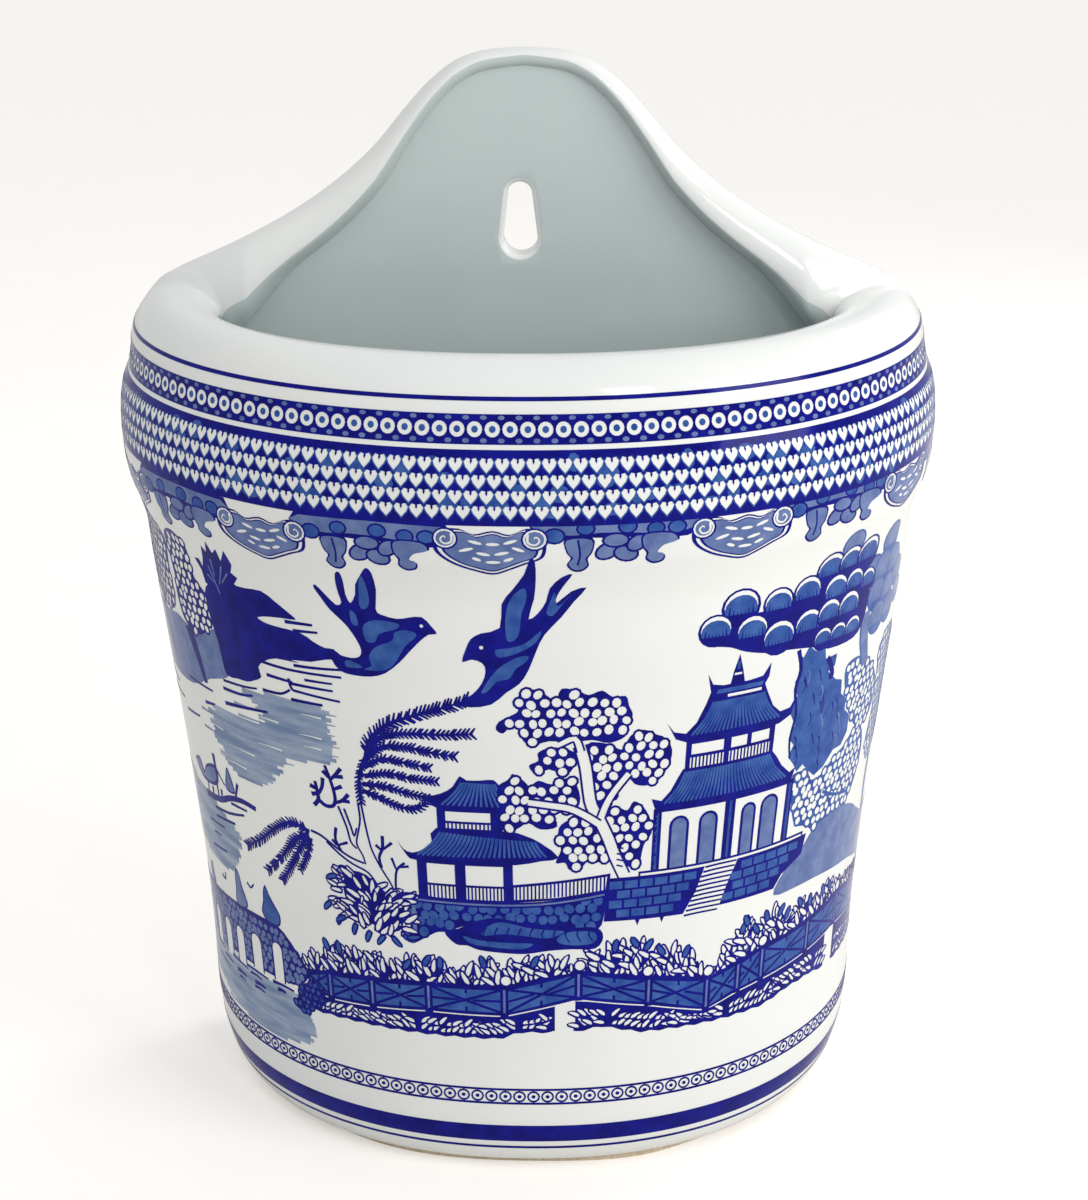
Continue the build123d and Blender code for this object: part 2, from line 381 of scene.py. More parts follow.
roll_start = np.where(is_back == 1, crest_over(outer_x) - np.interp(reach, [0, 40, 70, 85, 96],
    [4, 6, 8, 8, 5]), collar_top)
crest = np.where(is_back == 1, corner_back, crest_height)
inner_edge = np.where(is_back == 1, corner_back - np.interp(np.abs(middle_x), lip_places, lip_drops),
    inner_height)
first, last = front_count + corner_count, columns - corner_count - 1
for part, here in ((slice(front_count, first), first), (slice(last + 1, columns), last)):
    w = is_back[part]
    w = w * w * (3 - 2 * w)
    start = front_count - 1 if here == first else 0
    roll_start[part] = collar_top + (roll_start[here] - collar_top) * w
    crest[part] = crest_height + (crest[here] - crest_height) * w
    inner_edge[part] = inner_height + (inner_edge[here] - inner_height) * w
    lip_in_x[part] = lip_in_x[start] + (lip_in_x[here] - lip_in_x[start]) * w
    lip_in_y[part] = lip_in_y[start] + (lip_in_y[here] - lip_in_y[start]) * w
print("crest", crest.min().round(1), "to", crest.max().round(1), "corner", lip_in_x[0], lip_in_y[0])

# %% The inner wall
wall, plate, floor_top, foot_top = 6.5, 8.0, 9.2, 2.2


def inner_loop(height):
    """The inside of the wall: set in from the outside, and flat along the plate."""
    half = np.where(height > 149, np.interp(height, [149, 195.8], [97.1, 99.7]), half_width(height))
    x, y = outer_loop(half)
    inset_x = np.zeros(columns)
    inset_y = np.full(columns, -plate)
    a = front_count
    inset_x[:a] = front_x * (half[:a] - wall)
    forward = -front_y * (half[:a] * depth_share - wall)
    inset_y[:a] = -((forward**3 + plate**3) ** (1 / 3))
    b = a + corner_count
    inset_x[b:-corner_count] = back_u * (edge_x * (half[b:-corner_count] - wall) - 0.8)
    for part, here, start in ((slice(a, b), b, a - 1),
            (slice(columns - corner_count, columns), columns - corner_count - 1, 0)):
        w = is_back[part]
        inset_x[part] = inset_x[start] + (inset_x[here] - inset_x[start]) * w
        inset_y[part] = inset_y[start] + (inset_y[here] - inset_y[start]) * w
    return inset_x, inset_y


near_corner = np.clip((reach - 58) / 32, 0, 1)
near_corner = near_corner * near_corner * (3 - 2 * near_corner)
under_height = np.where(is_back == 1, (inner_edge - 2.5) * (1 - near_corner) + 196 * near_corner, 196.0)
under_x, under_y = inner_loop(under_height)

# %% Rows up the outside, over the roll and down the inside
outside = [2.2, 3.2, 4.4, 5.8, 7.6, 9.8, 12, 14.5, 17, 21, 26] + list(np.arange(31, 147, 5.0))
outside += list(np.arange(149, 196, 1.5)) + [196.6, 198, 199.5, 200.9]
rows = []
for height in outside:
    share = (height - foot_top) / (collar_top - foot_top)
    z = foot_top + share * (roll_start - foot_top)
    x, y = outer_loop(half_width(np.minimum(z, collar_top)))
    rows.append((x, y, z))
for turn in np.linspace(0, math.pi, 27)[1:]:
    share = (1 - math.cos(turn)) / 2
    foot = roll_start if turn <= math.pi / 2 else inner_edge
    z = foot + (crest - foot) * math.sin(turn)
    rows.append((outer_x + (lip_in_x - outer_x) * share, outer_y + (lip_in_y - outer_y) * share, z))
glazed_rows = len(rows) - 1
for turn in np.linspace(0, math.pi / 2, 10)[1:]:
    share = 1 - math.cos(turn)
    z = inner_edge - (inner_edge - under_height) * math.sin(turn)
    rows.append((lip_in_x + (under_x - lip_in_x) * share, lip_in_y + (under_y - lip_in_y) * share, z))
for share in np.linspace(0, 1, 33)[1:]:
    z = under_height + (floor_top - under_height) * share
    x, y = inner_loop(z)
    rows.append((x, y, z))
points = np.array([np.stack(row, axis=-1) for row in rows]).reshape(-1, 3)
print(len(rows), "rows,", len(points), "points")

# %% Join the rows into one closed skin
quads = []
for i in range(len(rows) - 1):
    for j in range(columns):
        k = (j + 1) % columns
        quads.append((i * columns + j, (i + 1) * columns + j, (i + 1) * columns + k, i * columns + k))
top_row = (len(rows) - 1) * columns
faces = quads + [tuple(range(columns)), tuple(range(top_row + columns - 1, top_row - 1, -1))]
body_mesh = bpy.data.meshes.new("vase_body")
body_mesh.from_pydata(to_scene(points).tolist(), [], faces)
# From here on, the rows inside the roll, the back plate and the floor take the inside glaze, whose grey is
# partly painted shade.
inside_from = glazed_rows * columns
body_mesh.polygons.foreach_set("material_index", [1 if k >= inside_from else 0
    for k in range(len(quads))] + [0, 1])
body = bpy.data.objects.new("vase_body", body_mesh)
bpy.context.collection.objects.link(body)
print("body", len(faces), "faces")


# %% [markdown]
# ## The keyhole
# The hole was cut by hand in the soft clay: a round bulb that the head of a screw
# passes, and a narrower slot above it that the shank slides up. Its front edge is
# wiped round. A cutter of that outline is pushed through the plate with a Boolean.

# %% Cut the keyhole
bulb_radius, bulb_height, slot_radius, slot_height, key_x = 4.3, 224.6, 3.05, 235.4, -1.4


def key_ring(y, spread):
    ring = []
    for step in range(56):
        turn = 2 * math.pi * step / 56
        dx, dz = math.cos(turn), math.sin(turn)
        bulb = bulb_height * dz + bulb_radius
        slot = slot_height * dz + slot_radius
        radius, centre = (bulb_radius, bulb_height) if bulb > slot else (slot_radius, slot_height)
        ring.append((key_x + (radius + spread) * dx, y, centre + (radius + spread) * dz))
    return ring


key_rings = [key_ring(3.0, 0.9), key_ring(0.0, 0.45), key_ring(-0.5, 0.0), key_ring(-7.0, 0.0)]
key_rings += [key_ring(-7.45, 0.13), key_ring(-7.8, 0.42), key_ring(-8.0, 0.95), key_ring(-12.0, 2.6)]
key_points = np.array([p for ring in key_rings for p in ring])
key_faces = [tuple(range(55, -1, -1)), tuple(range(7 * 56, 8 * 56))]
for i in range(7):
    for j in range(56):
        k = (j + 1) % 56
        key_faces.append((i * 56 + j, i * 56 + k, (i + 1) * 56 + k, (i + 1) * 56 + j))
cutter_mesh = bpy.data.meshes.new("key_cutter")
cutter_mesh.from_pydata(to_scene(key_points).tolist(), [], key_faces)
cutter = bpy.data.objects.new("key_cutter", cutter_mesh)
bpy.context.collection.objects.link(cutter)


def choose_only(piece):
    bpy.ops.object.select_all(action="DESELECT")
    piece.select_set(True)
    bpy.context.view_layer.objects.active = piece


choose_only(cutter)
bpy.ops.object.mode_set(mode="EDIT")
bpy.ops.mesh.select_all(action="SELECT")
bpy.ops.mesh.normals_make_consistent(inside=False)
bpy.ops.object.mode_set(mode="OBJECT")
choose_only(body)
hole = body.modifiers.new("keyhole", "BOOLEAN")
hole.operation = "DIFFERENCE"
hole.solver = "EXACT"
hole.object = cutter
bpy.ops.object.modifier_apply(modifier="keyhole")
bpy.data.objects.remove(cutter)
bpy.ops.object.shade_smooth_by_angle(angle=math.radians(38))
print("body after the cut", len(body.data.polygons), "faces")


# %% [markdown]
# ## Glaze and clay
# Clear lead-like glaze over white earthenware has a wet shine, a faint cool tint that
# pools unevenly, and a skin that is not quite flat. Inside the mouth, on the back plate
# and on the floor the glaze is painted darker and bluer. This grey is partly the glaze's
# own tint and partly painted shade for the shade that falls there. The shading crease
# under the lip is drawn as the edge of that grey. The foot was wiped clean before
# firing, so bare buff clay shows there.

# %% Mix the glazes and the clay
skin_grain, skin_strength, skin_depth = 160, 0.06, 0.0006


def wet_surface(nodes, links, shader, shine, reflection):
    """The shine of a fired glaze, which is never quite flat."""
    shader.inputs["Roughness"].default_value = shine
    shader.inputs["Specular IOR Level"].default_value = reflection
    ripple = noise_on_place(nodes, links, skin_grain, 2)
    raise_surface(nodes, links, shader, ripple, skin_strength, skin_depth)


def glaze(name, pale, deep, shine):
    material, nodes, links, shader = new_material(name)
    cloud = noise_on_place(nodes, links, 14, 4)
    tint = blend_colours(nodes, links, cloud, [(0.35, deep), (0.62, pale)])
    links.new(tint, shader.inputs["Base Color"])
    wet_surface(nodes, links, shader, shine, 0.5)
    return material


white_glaze = glaze("white_glaze", (0.83, 0.84, 0.815), (0.78, 0.80, 0.785), 0.11)
# Painted shade: the inside glaze is greyer and bluer than the white glaze, partly to stand for the shade
# inside the mouth and on the back plate.
grey_glaze = glaze("grey_glaze", (0.56, 0.63, 0.62), (0.51, 0.585, 0.585), 0.13)

bare_clay, nodes, links, shader = new_material("bare_clay")
grit = noise_on_place(nodes, links, 900, 5)
links.new(blend_colours(nodes, links, grit, [(0.3, (0.48, 0.38, 0.26)), (0.7, (0.66, 0.57, 0.43))]),
    shader.inputs["Base Color"])
shader.inputs["Roughness"].default_value = 0.85
raise_surface(nodes, links, shader, grit, 0.5, 0.0003)

body.data.materials.append(white_glaze)
body.data.materials.append(grey_glaze)
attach(body, "root")
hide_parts("front_wall", "heart_bead", "ring_collar", "front_rim", "hump_lip", "back_plate",
    "floor_plate")
foot_ring = bpy.data.objects["foot_ring"]
for holder in foot_ring.material_slots:
    holder.material = bare_clay
print("foot slots", len(foot_ring.material_slots))


# %% [markdown]
# ## Printing in blue
# The real print was engraved on copper, pulled on thin paper and rubbed on the clay
# before glazing. Here each shape of ink is an outline on a flat sheet in millimetres:
# across is the distance from the middle of the front, and up is the height. The
# shapes are laid over each other in order, cut into small triangles and wrapped on the
# wall as a film a tenth of a millimetre thick, so that the edges stay crisp.

# %% Four inks
def ink(name, stops, scale, stretch=(1, 1, 1)):
    material, nodes, links, shader = new_material(name)
    mottle = noise_on_place(nodes, links, scale, 4, stretch)
    links.new(blend_colours(nodes, links, mottle, stops), shader.inputs["Base Color"])
    wet_surface(nodes, links, shader, 0.11, 0.12)
    return material


dark_blue = [(0.35, (0.001, 0.001, 0.15)), (0.62, (0.003, 0.005, 0.23))]
middle_blue = [(0.3, (0.016, 0.06, 0.28)), (0.7, (0.05, 0.125, 0.38))]
pale_blue = [(0.35, (0.09, 0.14, 0.33)), (0.7, (0.16, 0.22, 0.43))]
grey_wash = [(0.35, (0.16, 0.23, 0.38)), (0.65, (0.36, 0.43, 0.55))]
inks = {
    "dark": ink("dark_ink", dark_blue, 220),
    "mid": ink("middle_ink", middle_blue, 260),
    "pale": ink("pale_ink", pale_blue, 240),
    "wash": ink("wash_ink", grey_wash, 60, (1, 1, 7)),
}
print(len(inks), "inks")

# %% Outlines, lines and dots on the sheet
def curve_through(points, closed, parts=4):
    """A round curve through given points."""
    spots = [np.array(p, float) for p in points]
    count = len(spots)
    if count < 3:
        return spots
    found = []
    for k in range(count if closed else count - 1):
        if closed:
            a, b, c, d = (spots[(k + o) % count] for o in (-1, 0, 1, 2))
        else:
            a, b, c, d = (spots[min(max(k + o, 0), count - 1)] for o in (-1, 0, 1, 2))
        for step in range(parts):
            t = step / parts
            found.append(0.5 * (2 * b + (c - a) * t + (2 * a - 5 * b + 4 * c - d) * t**2 + (
                3 * b - a - 3 * c + d) * t**3))
    if not closed:
        found.append(spots[-1])
    return found


sheet = []


def blot(tone, points, smooth=3):
    """A filled shape."""
    sheet.append((tone, curve_through(points, True, smooth) if smooth
        else [np.array(p, float) for p in points]))


def line(tone, width, points, tip=None, smooth=3):
    """A stroke of the graver, which may narrow to its tip."""
    path = curve_through(points, False, smooth) if smooth else [np.array(p, float) for p in points]
    tip = width if tip is None else tip
    left, other = [], []
    for k, spot in enumerate(path):
        ahead = path[min(k + 1, len(path) - 1)] - path[max(k - 1, 0)]
        ahead = ahead / (np.hypot(*ahead) or 1)
        half = (width + (tip - width) * k / (len(path) - 1)) / 2
        side = np.array([-ahead[1], ahead[0]]) * half
        left.append(spot + side)
        other.append(spot - side)
    for k in range(len(path) - 1):
        sheet.append((tone, [other[k], other[k + 1], left[k + 1], left[k]]))


def oval(tone, x, z, rx, rz=None, turn=0, sides=10):
    rz = rx if rz is None else rz
    c, s = math.cos(math.radians(turn)), math.sin(math.radians(turn))
    spots = []
    for k in range(sides):
        a = 2 * math.pi * k / sides
        u, v = rx * math.cos(a), rz * math.sin(a)
        spots.append(np.array([x + u * c - v * s, z + u * s + v * c]))
    sheet.append((tone, spots))


def box(tone, x0, z0, x1, z1):
    sheet.append((tone, [np.array(p, float) for p in ((x0, z0), (x1, z0), (x1, z1), (x0, z1))]))


# %% Wrap the sheet on the wall
film_top, film_bottom = 0.07, -0.03
reach_s = front_reach - 0.5


def signed_area(spots):
    return sum(a[0] * b[1] - b[0] * a[1] for a, b in zip(spots, spots[1:] + spots[:1])) / 2


def cut_sheet(cell_x, cell_z, top_edge):
    """Cut all shapes into triangles, each with the ink that lies on top."""
    spots, faces, edges = [], [], []
    for tone, outline in sheet:
        outline = outline if signed_area(outline) > 0 else outline[::-1]
        faces.append(list(range(len(spots), len(spots) + len(outline))))
        spots.extend(outline)
    low, high = np.min(spots, axis=0), np.max(spots, axis=0)
    for cell, low_c, high_c, along in ((cell_x, low[0], high[0], 0), (cell_z, low[1], high[1], 1)):
        for c in np.arange(math.ceil(low_c / cell) * cell, high_c, cell):
            ends = [(c, low[1]), (c, high[1])] if along == 0 else [(low[0], c), (high[0], c)]
            edges.append((len(spots), len(spots) + 1))
            spots.extend(ends)
    for ends in ([(low[0], top_edge), (high[0], top_edge)], [(-reach_s, low[1]), (-reach_s, high[1])],
            [(reach_s, low[1]), (reach_s, high[1])]):
        edges.append((len(spots), len(spots) + 1))
        spots.extend(ends)
    flat = [Vector((float(p[0]), float(p[1]))) for p in spots]
    verts, _, triangles, _, _, covers = delaunay_2d_cdt(flat, edges, faces, 0, 1e-4)
    inked = {}
    for triangle, cover in zip(triangles, covers):
        middle = (verts[triangle[0]] + verts[triangle[1]] + verts[triangle[2]]) / 3
        if cover and abs(middle[0]) < reach_s and middle[1] < top_edge:
            inked.setdefault(sheet[max(cover)][0], []).append(triangle)
    return np.array([tuple(v) for v in verts]), inked


def film(name, spots, triangles, material):
    """A closed film over the wall from flat triangles."""
    triangles = np.array(triangles)
    used, index = np.unique(triangles, return_inverse=True)
    triangles = index.reshape(-1, 3)
    flat = spots[used]
    a, b, c = flat[triangles[:, 0]], flat[triangles[:, 1]], flat[triangles[:, 2]]
    turn = (b[:, 0] - a[:, 0]) * (c[:, 1] - a[:, 1]) - (c[:, 0] - a[:, 0]) * (b[:, 1] - a[:, 1])
    triangles = np.where((turn < 0)[:, None], triangles[:, ::-1], triangles)[np.abs(turn) > 1e-7]
    base = wall_point(flat[:, 0], flat[:, 1])
    normal = wall_normal(flat[:, 0], flat[:, 1])
    count = len(flat)
    sides = np.concatenate([triangles[:, [0, 1]], triangles[:, [1, 2]], triangles[:, [2, 0]]])
    known = set(map(tuple, sides.tolist()))
    rims = [(p, q) for p, q in known if (q, p) not in known]
    faces = triangles.tolist() + (triangles[:, ::-1] + count).tolist()
    faces += [(q, p, p + count, q + count) for p, q in rims]
    mesh = bpy.data.meshes.new(name)
    both = np.concatenate([base + normal * film_top, base + normal * film_bottom])
    mesh.from_pydata(to_scene(both).tolist(), [], faces)
    mesh.polygons.foreach_set("use_smooth", [True] * len(faces))
    shown = np.concatenate([normal[triangles.ravel()],
        -normal[triangles[:, ::-1].ravel()]] + [normal[[q, p, p, q]] for p, q in rims])
    mesh.normals_split_custom_set(shown.tolist())
    piece = bpy.data.objects.new(name, mesh)
    bpy.context.collection.objects.link(piece)
    piece.data.materials.append(material)
    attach(piece, "root")
    return len(faces)


def press(name, cell_x=2.6, cell_z=2.6, top_edge=250):
    """Print the sheet on the vase, one film for each ink, and start a new sheet."""
    spots, inked = cut_sheet(cell_x, cell_z, top_edge)
    total = 0
    for tone, triangles in inked.items():
        if tone != "white":
            total += film(f"{name}_{tone}", spots, triangles, inks[tone])
    sheet.clear()
    print(name, total, "faces")


# %% [markdown]
# ## Bands round the vase
# Bands tie the print together: a thin line on the roll, a chain of small rings on the
# collar, rows of hearts on the bead, and near the foot another chain, a broad band
# and a thin line. They were printed from straight strips of paper, so the joints
# between strips show as small steps in the blue.

# %% Lines
for low, high in ((7.0, 7.8), (9.6, 14.9), (205.75, 206.65)):
    box("dark", -reach_s, low, reach_s, high)
press("line_bands", 2.6, 1.3)

# %% Chain of rings on the collar
box("dark", -reach_s, 196.4, reach_s, 203.0)
pitch = 3.7
for k in range(-38, 39):
    x = k * pitch
    oval("white", x, 199.7, 1.62, 1.75, sides=14)
    oval("mid", x, 199.7, 0.72, 0.8, sides=8)
    for z, lift in ((197.25, 0.55), (202.25, 0.5)):
        oval("pale", x + pitch / 2, z, 0.75, lift, sides=8)
press("ring_chain", 2.4, 1.6)

# %% Hearts on the bead
def heart(tone, x, z, size):
    shape = [(0, -1), (0.75, -0.15), (1, 0.45), (0.62, 0.95), (0.18, 0.85), (0, 0.5), (-0.18, 0.85),
        (-0.62, 0.95), (-1, 0.45), (-0.75, -0.15)]
    blot(tone, [(x + u * size * 0.92, z + v * size) for u, v in shape], 0)


box("dark", -reach_s, 178.6, reach_s, 195.3)
strip = np.random.default_rng(5)
for start in np.arange(-138, 136, 8.6):
    for x, z in strip.uniform((start, 181), (start + 8, 193), (3, 2)):
        oval("mid", x, z, strip.uniform(1.2, 2.6), strip.uniform(1.0, 2.2), sides=9)
heart_pitch = 3.2
notch = [(0, 0.3), (0.26, 0.95), (0, 1.35), (-0.26, 0.95)]
for row, z in enumerate((181.7, 185.15, 188.6, 192.1)):
    for k in range(-43, 44):
        x = (k + 0.5 * (row % 2)) * heart_pitch
        if abs(x) < reach_s - 2:
            heart("mid", x, z - 0.15, 1.9)
            heart("white", x, z, 1.62)
            blot("dark", [(x + u, z + v) for u, v in notch], 0)
press("hearts_band", 2.4, 1.5)

# %% Chain near the foot
box("dark", -reach_s, 21.5, reach_s, 26.2)
box("white", -reach_s, 22.1, reach_s, 25.6)
for k in range(-36, 37):
    x = k * 3.8
    oval("dark", x, 23.85, 1.75, 1.7, sides=12)
    oval("white", x, 23.85, 1.3, 1.2, sides=12)
    oval("dark", x, 23.85, 0.55, 0.5, sides=8)
press("lower_chain", 2.4, 2.4)


# %% [markdown]
# ## Tools for the landscape
# The engraver of such a landscape used a few signs again and again: a cloud of round
# fruits on dark, a leaf with a pale middle, a feathered willow branch, a striped roof.
# Each sign is a short function here, and the places and outlines are listed.

# %% Signs of the engraver
hand = np.random.default_rng(11)


def holds(outline, x, z):
    """Whether a spot lies inside an outline."""
    hit = False
    for (ax, az), (bx, bz) in zip(outline, outline[1:] + outline[:1]):
        if (az > z) != (bz > z) and x < ax + (z - az) / (bz - az) * (bx - ax):
            hit = not hit
    return hit


def fruit_cloud(outline, size, gap, back="dark", front="white", keep=0.5):
    """A blot filled with rows of round fruits, leaves or stones."""
    blot(back, outline)
    shape = [tuple(p) for p in sheet[-1][1]]
    low, high = np.min(shape, axis=0), np.max(shape, axis=0)
    fruits = []
    z, row = low[1] + size * 0.9, 0
    while z < high[1]:
        x = low[0] + (row % 2) * gap / 2
        while x < high[0]:
            u, v = x + hand.uniform(-0.16, 0.16) * gap, z + hand.uniform(-0.14, 0.14) * gap
            if all(holds(shape, u + dx * size * keep, v + dz * size * keep) for dx,
                    dz in ((1, 0), (-1, 0), (0, 1), (0, -1))):
                fruits.append((u, v, size * hand.uniform(0.86, 1.04), size * hand.uniform(0.98, 1.22),
                    hand.uniform(-50, 50)))
            x += gap
        z += gap * 0.9
        row += 1
    for u, v, rx, rz, turn in fruits:
        oval(back, u, v, rx + 0.6, rz + 0.6, turn, 9)
    for u, v, rx, rz, turn in fruits:
        oval(front, u, v, rx, rz, turn, 9)


def brushed(outline, stroke=1.3):
    """A wash laid on in level strokes with ragged ends."""
    shape = [tuple(p) for p in curve_through(outline, True, 3)]
    low, high = np.min(shape, axis=0), np.max(shape, axis=0)
    for z in np.arange(low[1] + 0.4, high[1], stroke * 0.75):
        inside = [x for x in np.arange(low[0], high[0], 1.0) if holds(shape, x, z)]
        if inside:
            start, end = inside[0] - hand.uniform(0, 3.2), inside[-1] + hand.uniform(0, 2.6)
            line("wash", stroke, [(start, z), ((start + end) / 2, z + hand.uniform(-0.15, 0.15)),
                (end, z)], tip=stroke * 0.8)
            if hand.uniform() < 0.5 and end - start > 9:
                gap_at = hand.uniform(start, end - 8)
                line("white", 0.45, [(gap_at, z + 0.5), (gap_at + hand.uniform(4, 8), z + 0.55)],
                    tip=0.15, smooth=0)


def leaf(x, z, length, lean, plump=0.2, middle="white", bend=0.0, edge=0.5):
    """One leaf from its foot, a dark outline with a pale middle."""
    a = math.radians(lean)
    along, side = np.array([math.cos(a), math.sin(a)]), np.array([-math.sin(a), math.cos(a)])
    for tone, grow, cut in (("dark", edge, 0), (middle, 0, 0.10)):
        left, other = [], []
        for t, w in ((cut, 0.35), (0.3, 1), (0.62, 0.9), (0.85, 0.5), (1 - cut, 0.05)):
            spine = np.array([x, z]) + along * length * t + side * bend * length * t * t
            reach_out = w * plump * length / 2 + grow * (1 if t < 0.95 else 0.3)
            left.append(spine + side * reach_out)
            other.append(spine - side * reach_out)
        sheet.append((tone, other + left[::-1]))


def frond(points, barb, gap=1.0, width=1.35, lean=50):
    """A willow branch with barbs on both sides."""
    line("dark", width, points, tip=0.35)
    path, walked = curve_through(points, False, 14), 0.0
    for before, spot in zip(path, path[1:]):
        step = spot - before
        walked += np.hypot(*step)
        if walked >= gap:
            walked -= gap
            heading = math.atan2(step[1], step[0])
            for sign in (-1, 1):
                a = heading + sign * math.radians(lean)
                tip = spot + barb * hand.uniform(0.85, 1.1) * np.array([math.cos(a), math.sin(a)])
                line("dark", 0.78, [spot, tip], tip=0.4, smooth=0)


def stripes(tone, width, top, low, count, sag=0.0):
    """Roof tiles: strokes from the upper edge of a roof to its eaves."""
    (ax, az), (bx, bz) = top
    (cx, cz), (dx, dz) = low
    for k in range(count):
        t = (k + 0.5) / count
        x0, z0 = ax + (bx - ax) * t, az + (bz - az) * t
        x1, z1 = cx + (dx - cx) * t, cz + (dz - cz) * t
        line(tone, width, [(x0, z0), (x0 + (x1 - x0) * (0.5 - sag), (z0 + z1) / 2), (x1, z1)],
            tip=width * 0.8)


def bars(tone, x0, x1, low, high, gap, width):
    """Upright bars between two rails, each rail given by its ends."""
    count = int((x1 - x0) / gap)
    for k in range(count + 1):
        t = (k + 0.5) / (count + 1)
        x = x0 + (x1 - x0) * t
        box(tone, x - width / 2, low[0] + (low[1] - low[0]) * t, x + width / 2,
            high[0] + (high[1] - high[0]) * t)


def arch(tone, x0, x1, low, top):
    half, middle = (x1 - x0) / 2, (x0 + x1) / 2
    spots = [(x0, low), (x1, low)] + [(middle + half * math.cos(a), top - half + half * math.sin(a))
        for a in np.linspace(0, math.pi, 8)]
    blot(tone, spots, 0)


print("signs ready")

# %% [markdown]
# ## The garland under the bead
# A strip of scrolled shields with leaves and fruits between them hangs under the bead.
# The strip was repeated round the vase, so one length of it is drawn and set again at
# each place where the shield returns.

# %% Shields, fruits and leaves
def outlined(points, tone="pale", smooth=3, grow=0.5):
    """A blot with a dark edge."""
    blot("dark", points, smooth)
    core = np.mean(points, axis=0)
    inner = []
    for p in points:
        away = np.array(p) - core
        inner.append(core + away * (1 - grow / max(np.hypot(*away), 1.2)))
    blot(tone, inner, smooth)


def curl(x, z, size, way):
    """A scroll with a white edge, rolled in towards one side."""
    oval("dark", x, z, size * 1.1, size * 1.06, sides=14)
    oval("white", x, z, size * 0.94, size * 0.9, sides=14)
    oval("pale", x, z, size * 0.76, size * 0.72, sides=12)
    roll_in = ((0.72, 2.4), (0.6, 3.6), (0.5, 4.8), (0.4, 6.0), (0.26, 7.4), (0.08, 8.6))
    line("white", 0.6, [(x + way * size * r * math.cos(a), z + size * r * math.sin(a)) for r,
        a in roll_in], tip=0.3)


def garland(x, z):
    blot("dark", [(x + u, z + v) for u, v in ((9, 9.5), (15, 8.6), (20, 9.1), (26, 8.8), (32, 9.0),
        (38, 8.2), (42, 9.1), (42, 14), (26, 14), (9, 14))], 2)
    blot("pale", [(x + u, z + v) for u, v in ((10, 10.6), (16, 9.7), (22, 10.2), (29, 9.9), (36, 9.3),
        (41, 10), (41, 13.2), (10, 13.2))], 2)
    for u, v, r in ((12.6, 9.6, 1.9), (19, 11.2, 1.6), (27.6, 11.4, 1.7), (33.5, 10.6, 1.6), (38, 10.6, 1.7)):
        oval("dark", x + u, z + v, r + 0.45, r * 0.8 + 0.45, sides=12)
        oval("mid", x + u, z + v, r, r * 0.8, sides=12)
    outlined([(x + u, z + v) for u, v in ((14.8, 9), (15.1, 5.6), (16, 4.2), (15.2, 2.5), (16.5, 0.9),
        (18.4, 0.8), (19.8, 2.2), (19.5, 4), (20.5, 5.8), (20.4, 9))])
    line("dark", 0.45, [(x + 17.4, z + 8.6), (x + 17.9, z + 5), (x + 17.4, z + 2.4)])
    for u, v, rx, rz, turn in ((23.6, 5.8, 2.6, 1.7, 30), (27.4, 5.0, 2.5, 1.7, -15),
            (25.2, 8.3, 2.6, 1.5, 0), (29.6, 7.4, 2.2, 1.6, 40)):
        oval("dark", x + u, z + v, rx + 0.35, rz + 0.4, turn, 14)
        oval("pale", x + u, z + v, rx - 0.15, rz - 0.1, turn, 12)
    outlined([(x + u, z + v) for u, v in ((31, 9.6), (30.6, 6.6), (31.7, 4.8), (31.6, 3.2), (33.3, 2.0),
        (35.4, 2.5), (35.7, 4.0), (34.3, 4.2), (34.2, 5.3), (35.8, 6.8), (38.6, 7.6), (37, 9.6))])
    shield = [(-12.4, 7.0), (-11.2, 4.6), (-8, 2.4), (-4, 0.9), (0, 0), (3.5, 1.3), (7, 2.9), (10.2, 4.3),
        (11.0, 7), (10.4, 10.6), (7, 11.4), (3.5, 9.9), (0, 10.8), (-4, 9.9), (-7, 11.2), (-11.6, 10.6)]
    for tone, share in (("dark", 1.0), ("white", 0.93), ("dark", 0.86), ("pale", 0.81)):
        blot(tone, [(x + u * share, z + 6 + (v - 6) * share) for u, v in shield])
    for u, v, rx, turn in ((-5.5, 6.2, 1.7, 15), (-2, 5.2, 1.6, -10), (1.8, 5.4, 1.7, 12),
            (5.2, 6.4, 1.5, -20), (-3.6, 8.0, 1.6, -15), (0, 7.6, 1.5, 0), (3.6, 8.2, 1.6, 18),
            (0, 3.2, 1.7, 0), (-3.4, 3.9, 1.1, -20), (3.2, 3.9, 1.2, 20)):
        oval("white", x + u, z + v, rx, 0.42, turn, 8)
    curl(x - 9.8, z + 8.8, 2.5, -1)
    curl(x + 8.6, z + 8.8, 2.6, 1)


for x, z in ((-158.5, 164.4), (-107, 164.5), (-55.4, 164.9), (-3.7, 166.7), (49.9, 167.4), (102, 167.6)):
    garland(x, z)
press("garland", 2.4, 1.5, 178.6)

# %% [markdown]
# ## Far shore, birds and bridge
# At the left the print shows a far island with a dark hill, water in level strokes over
# a grey wash, a small boat house and a bridge. Two swallows fly between the shores.

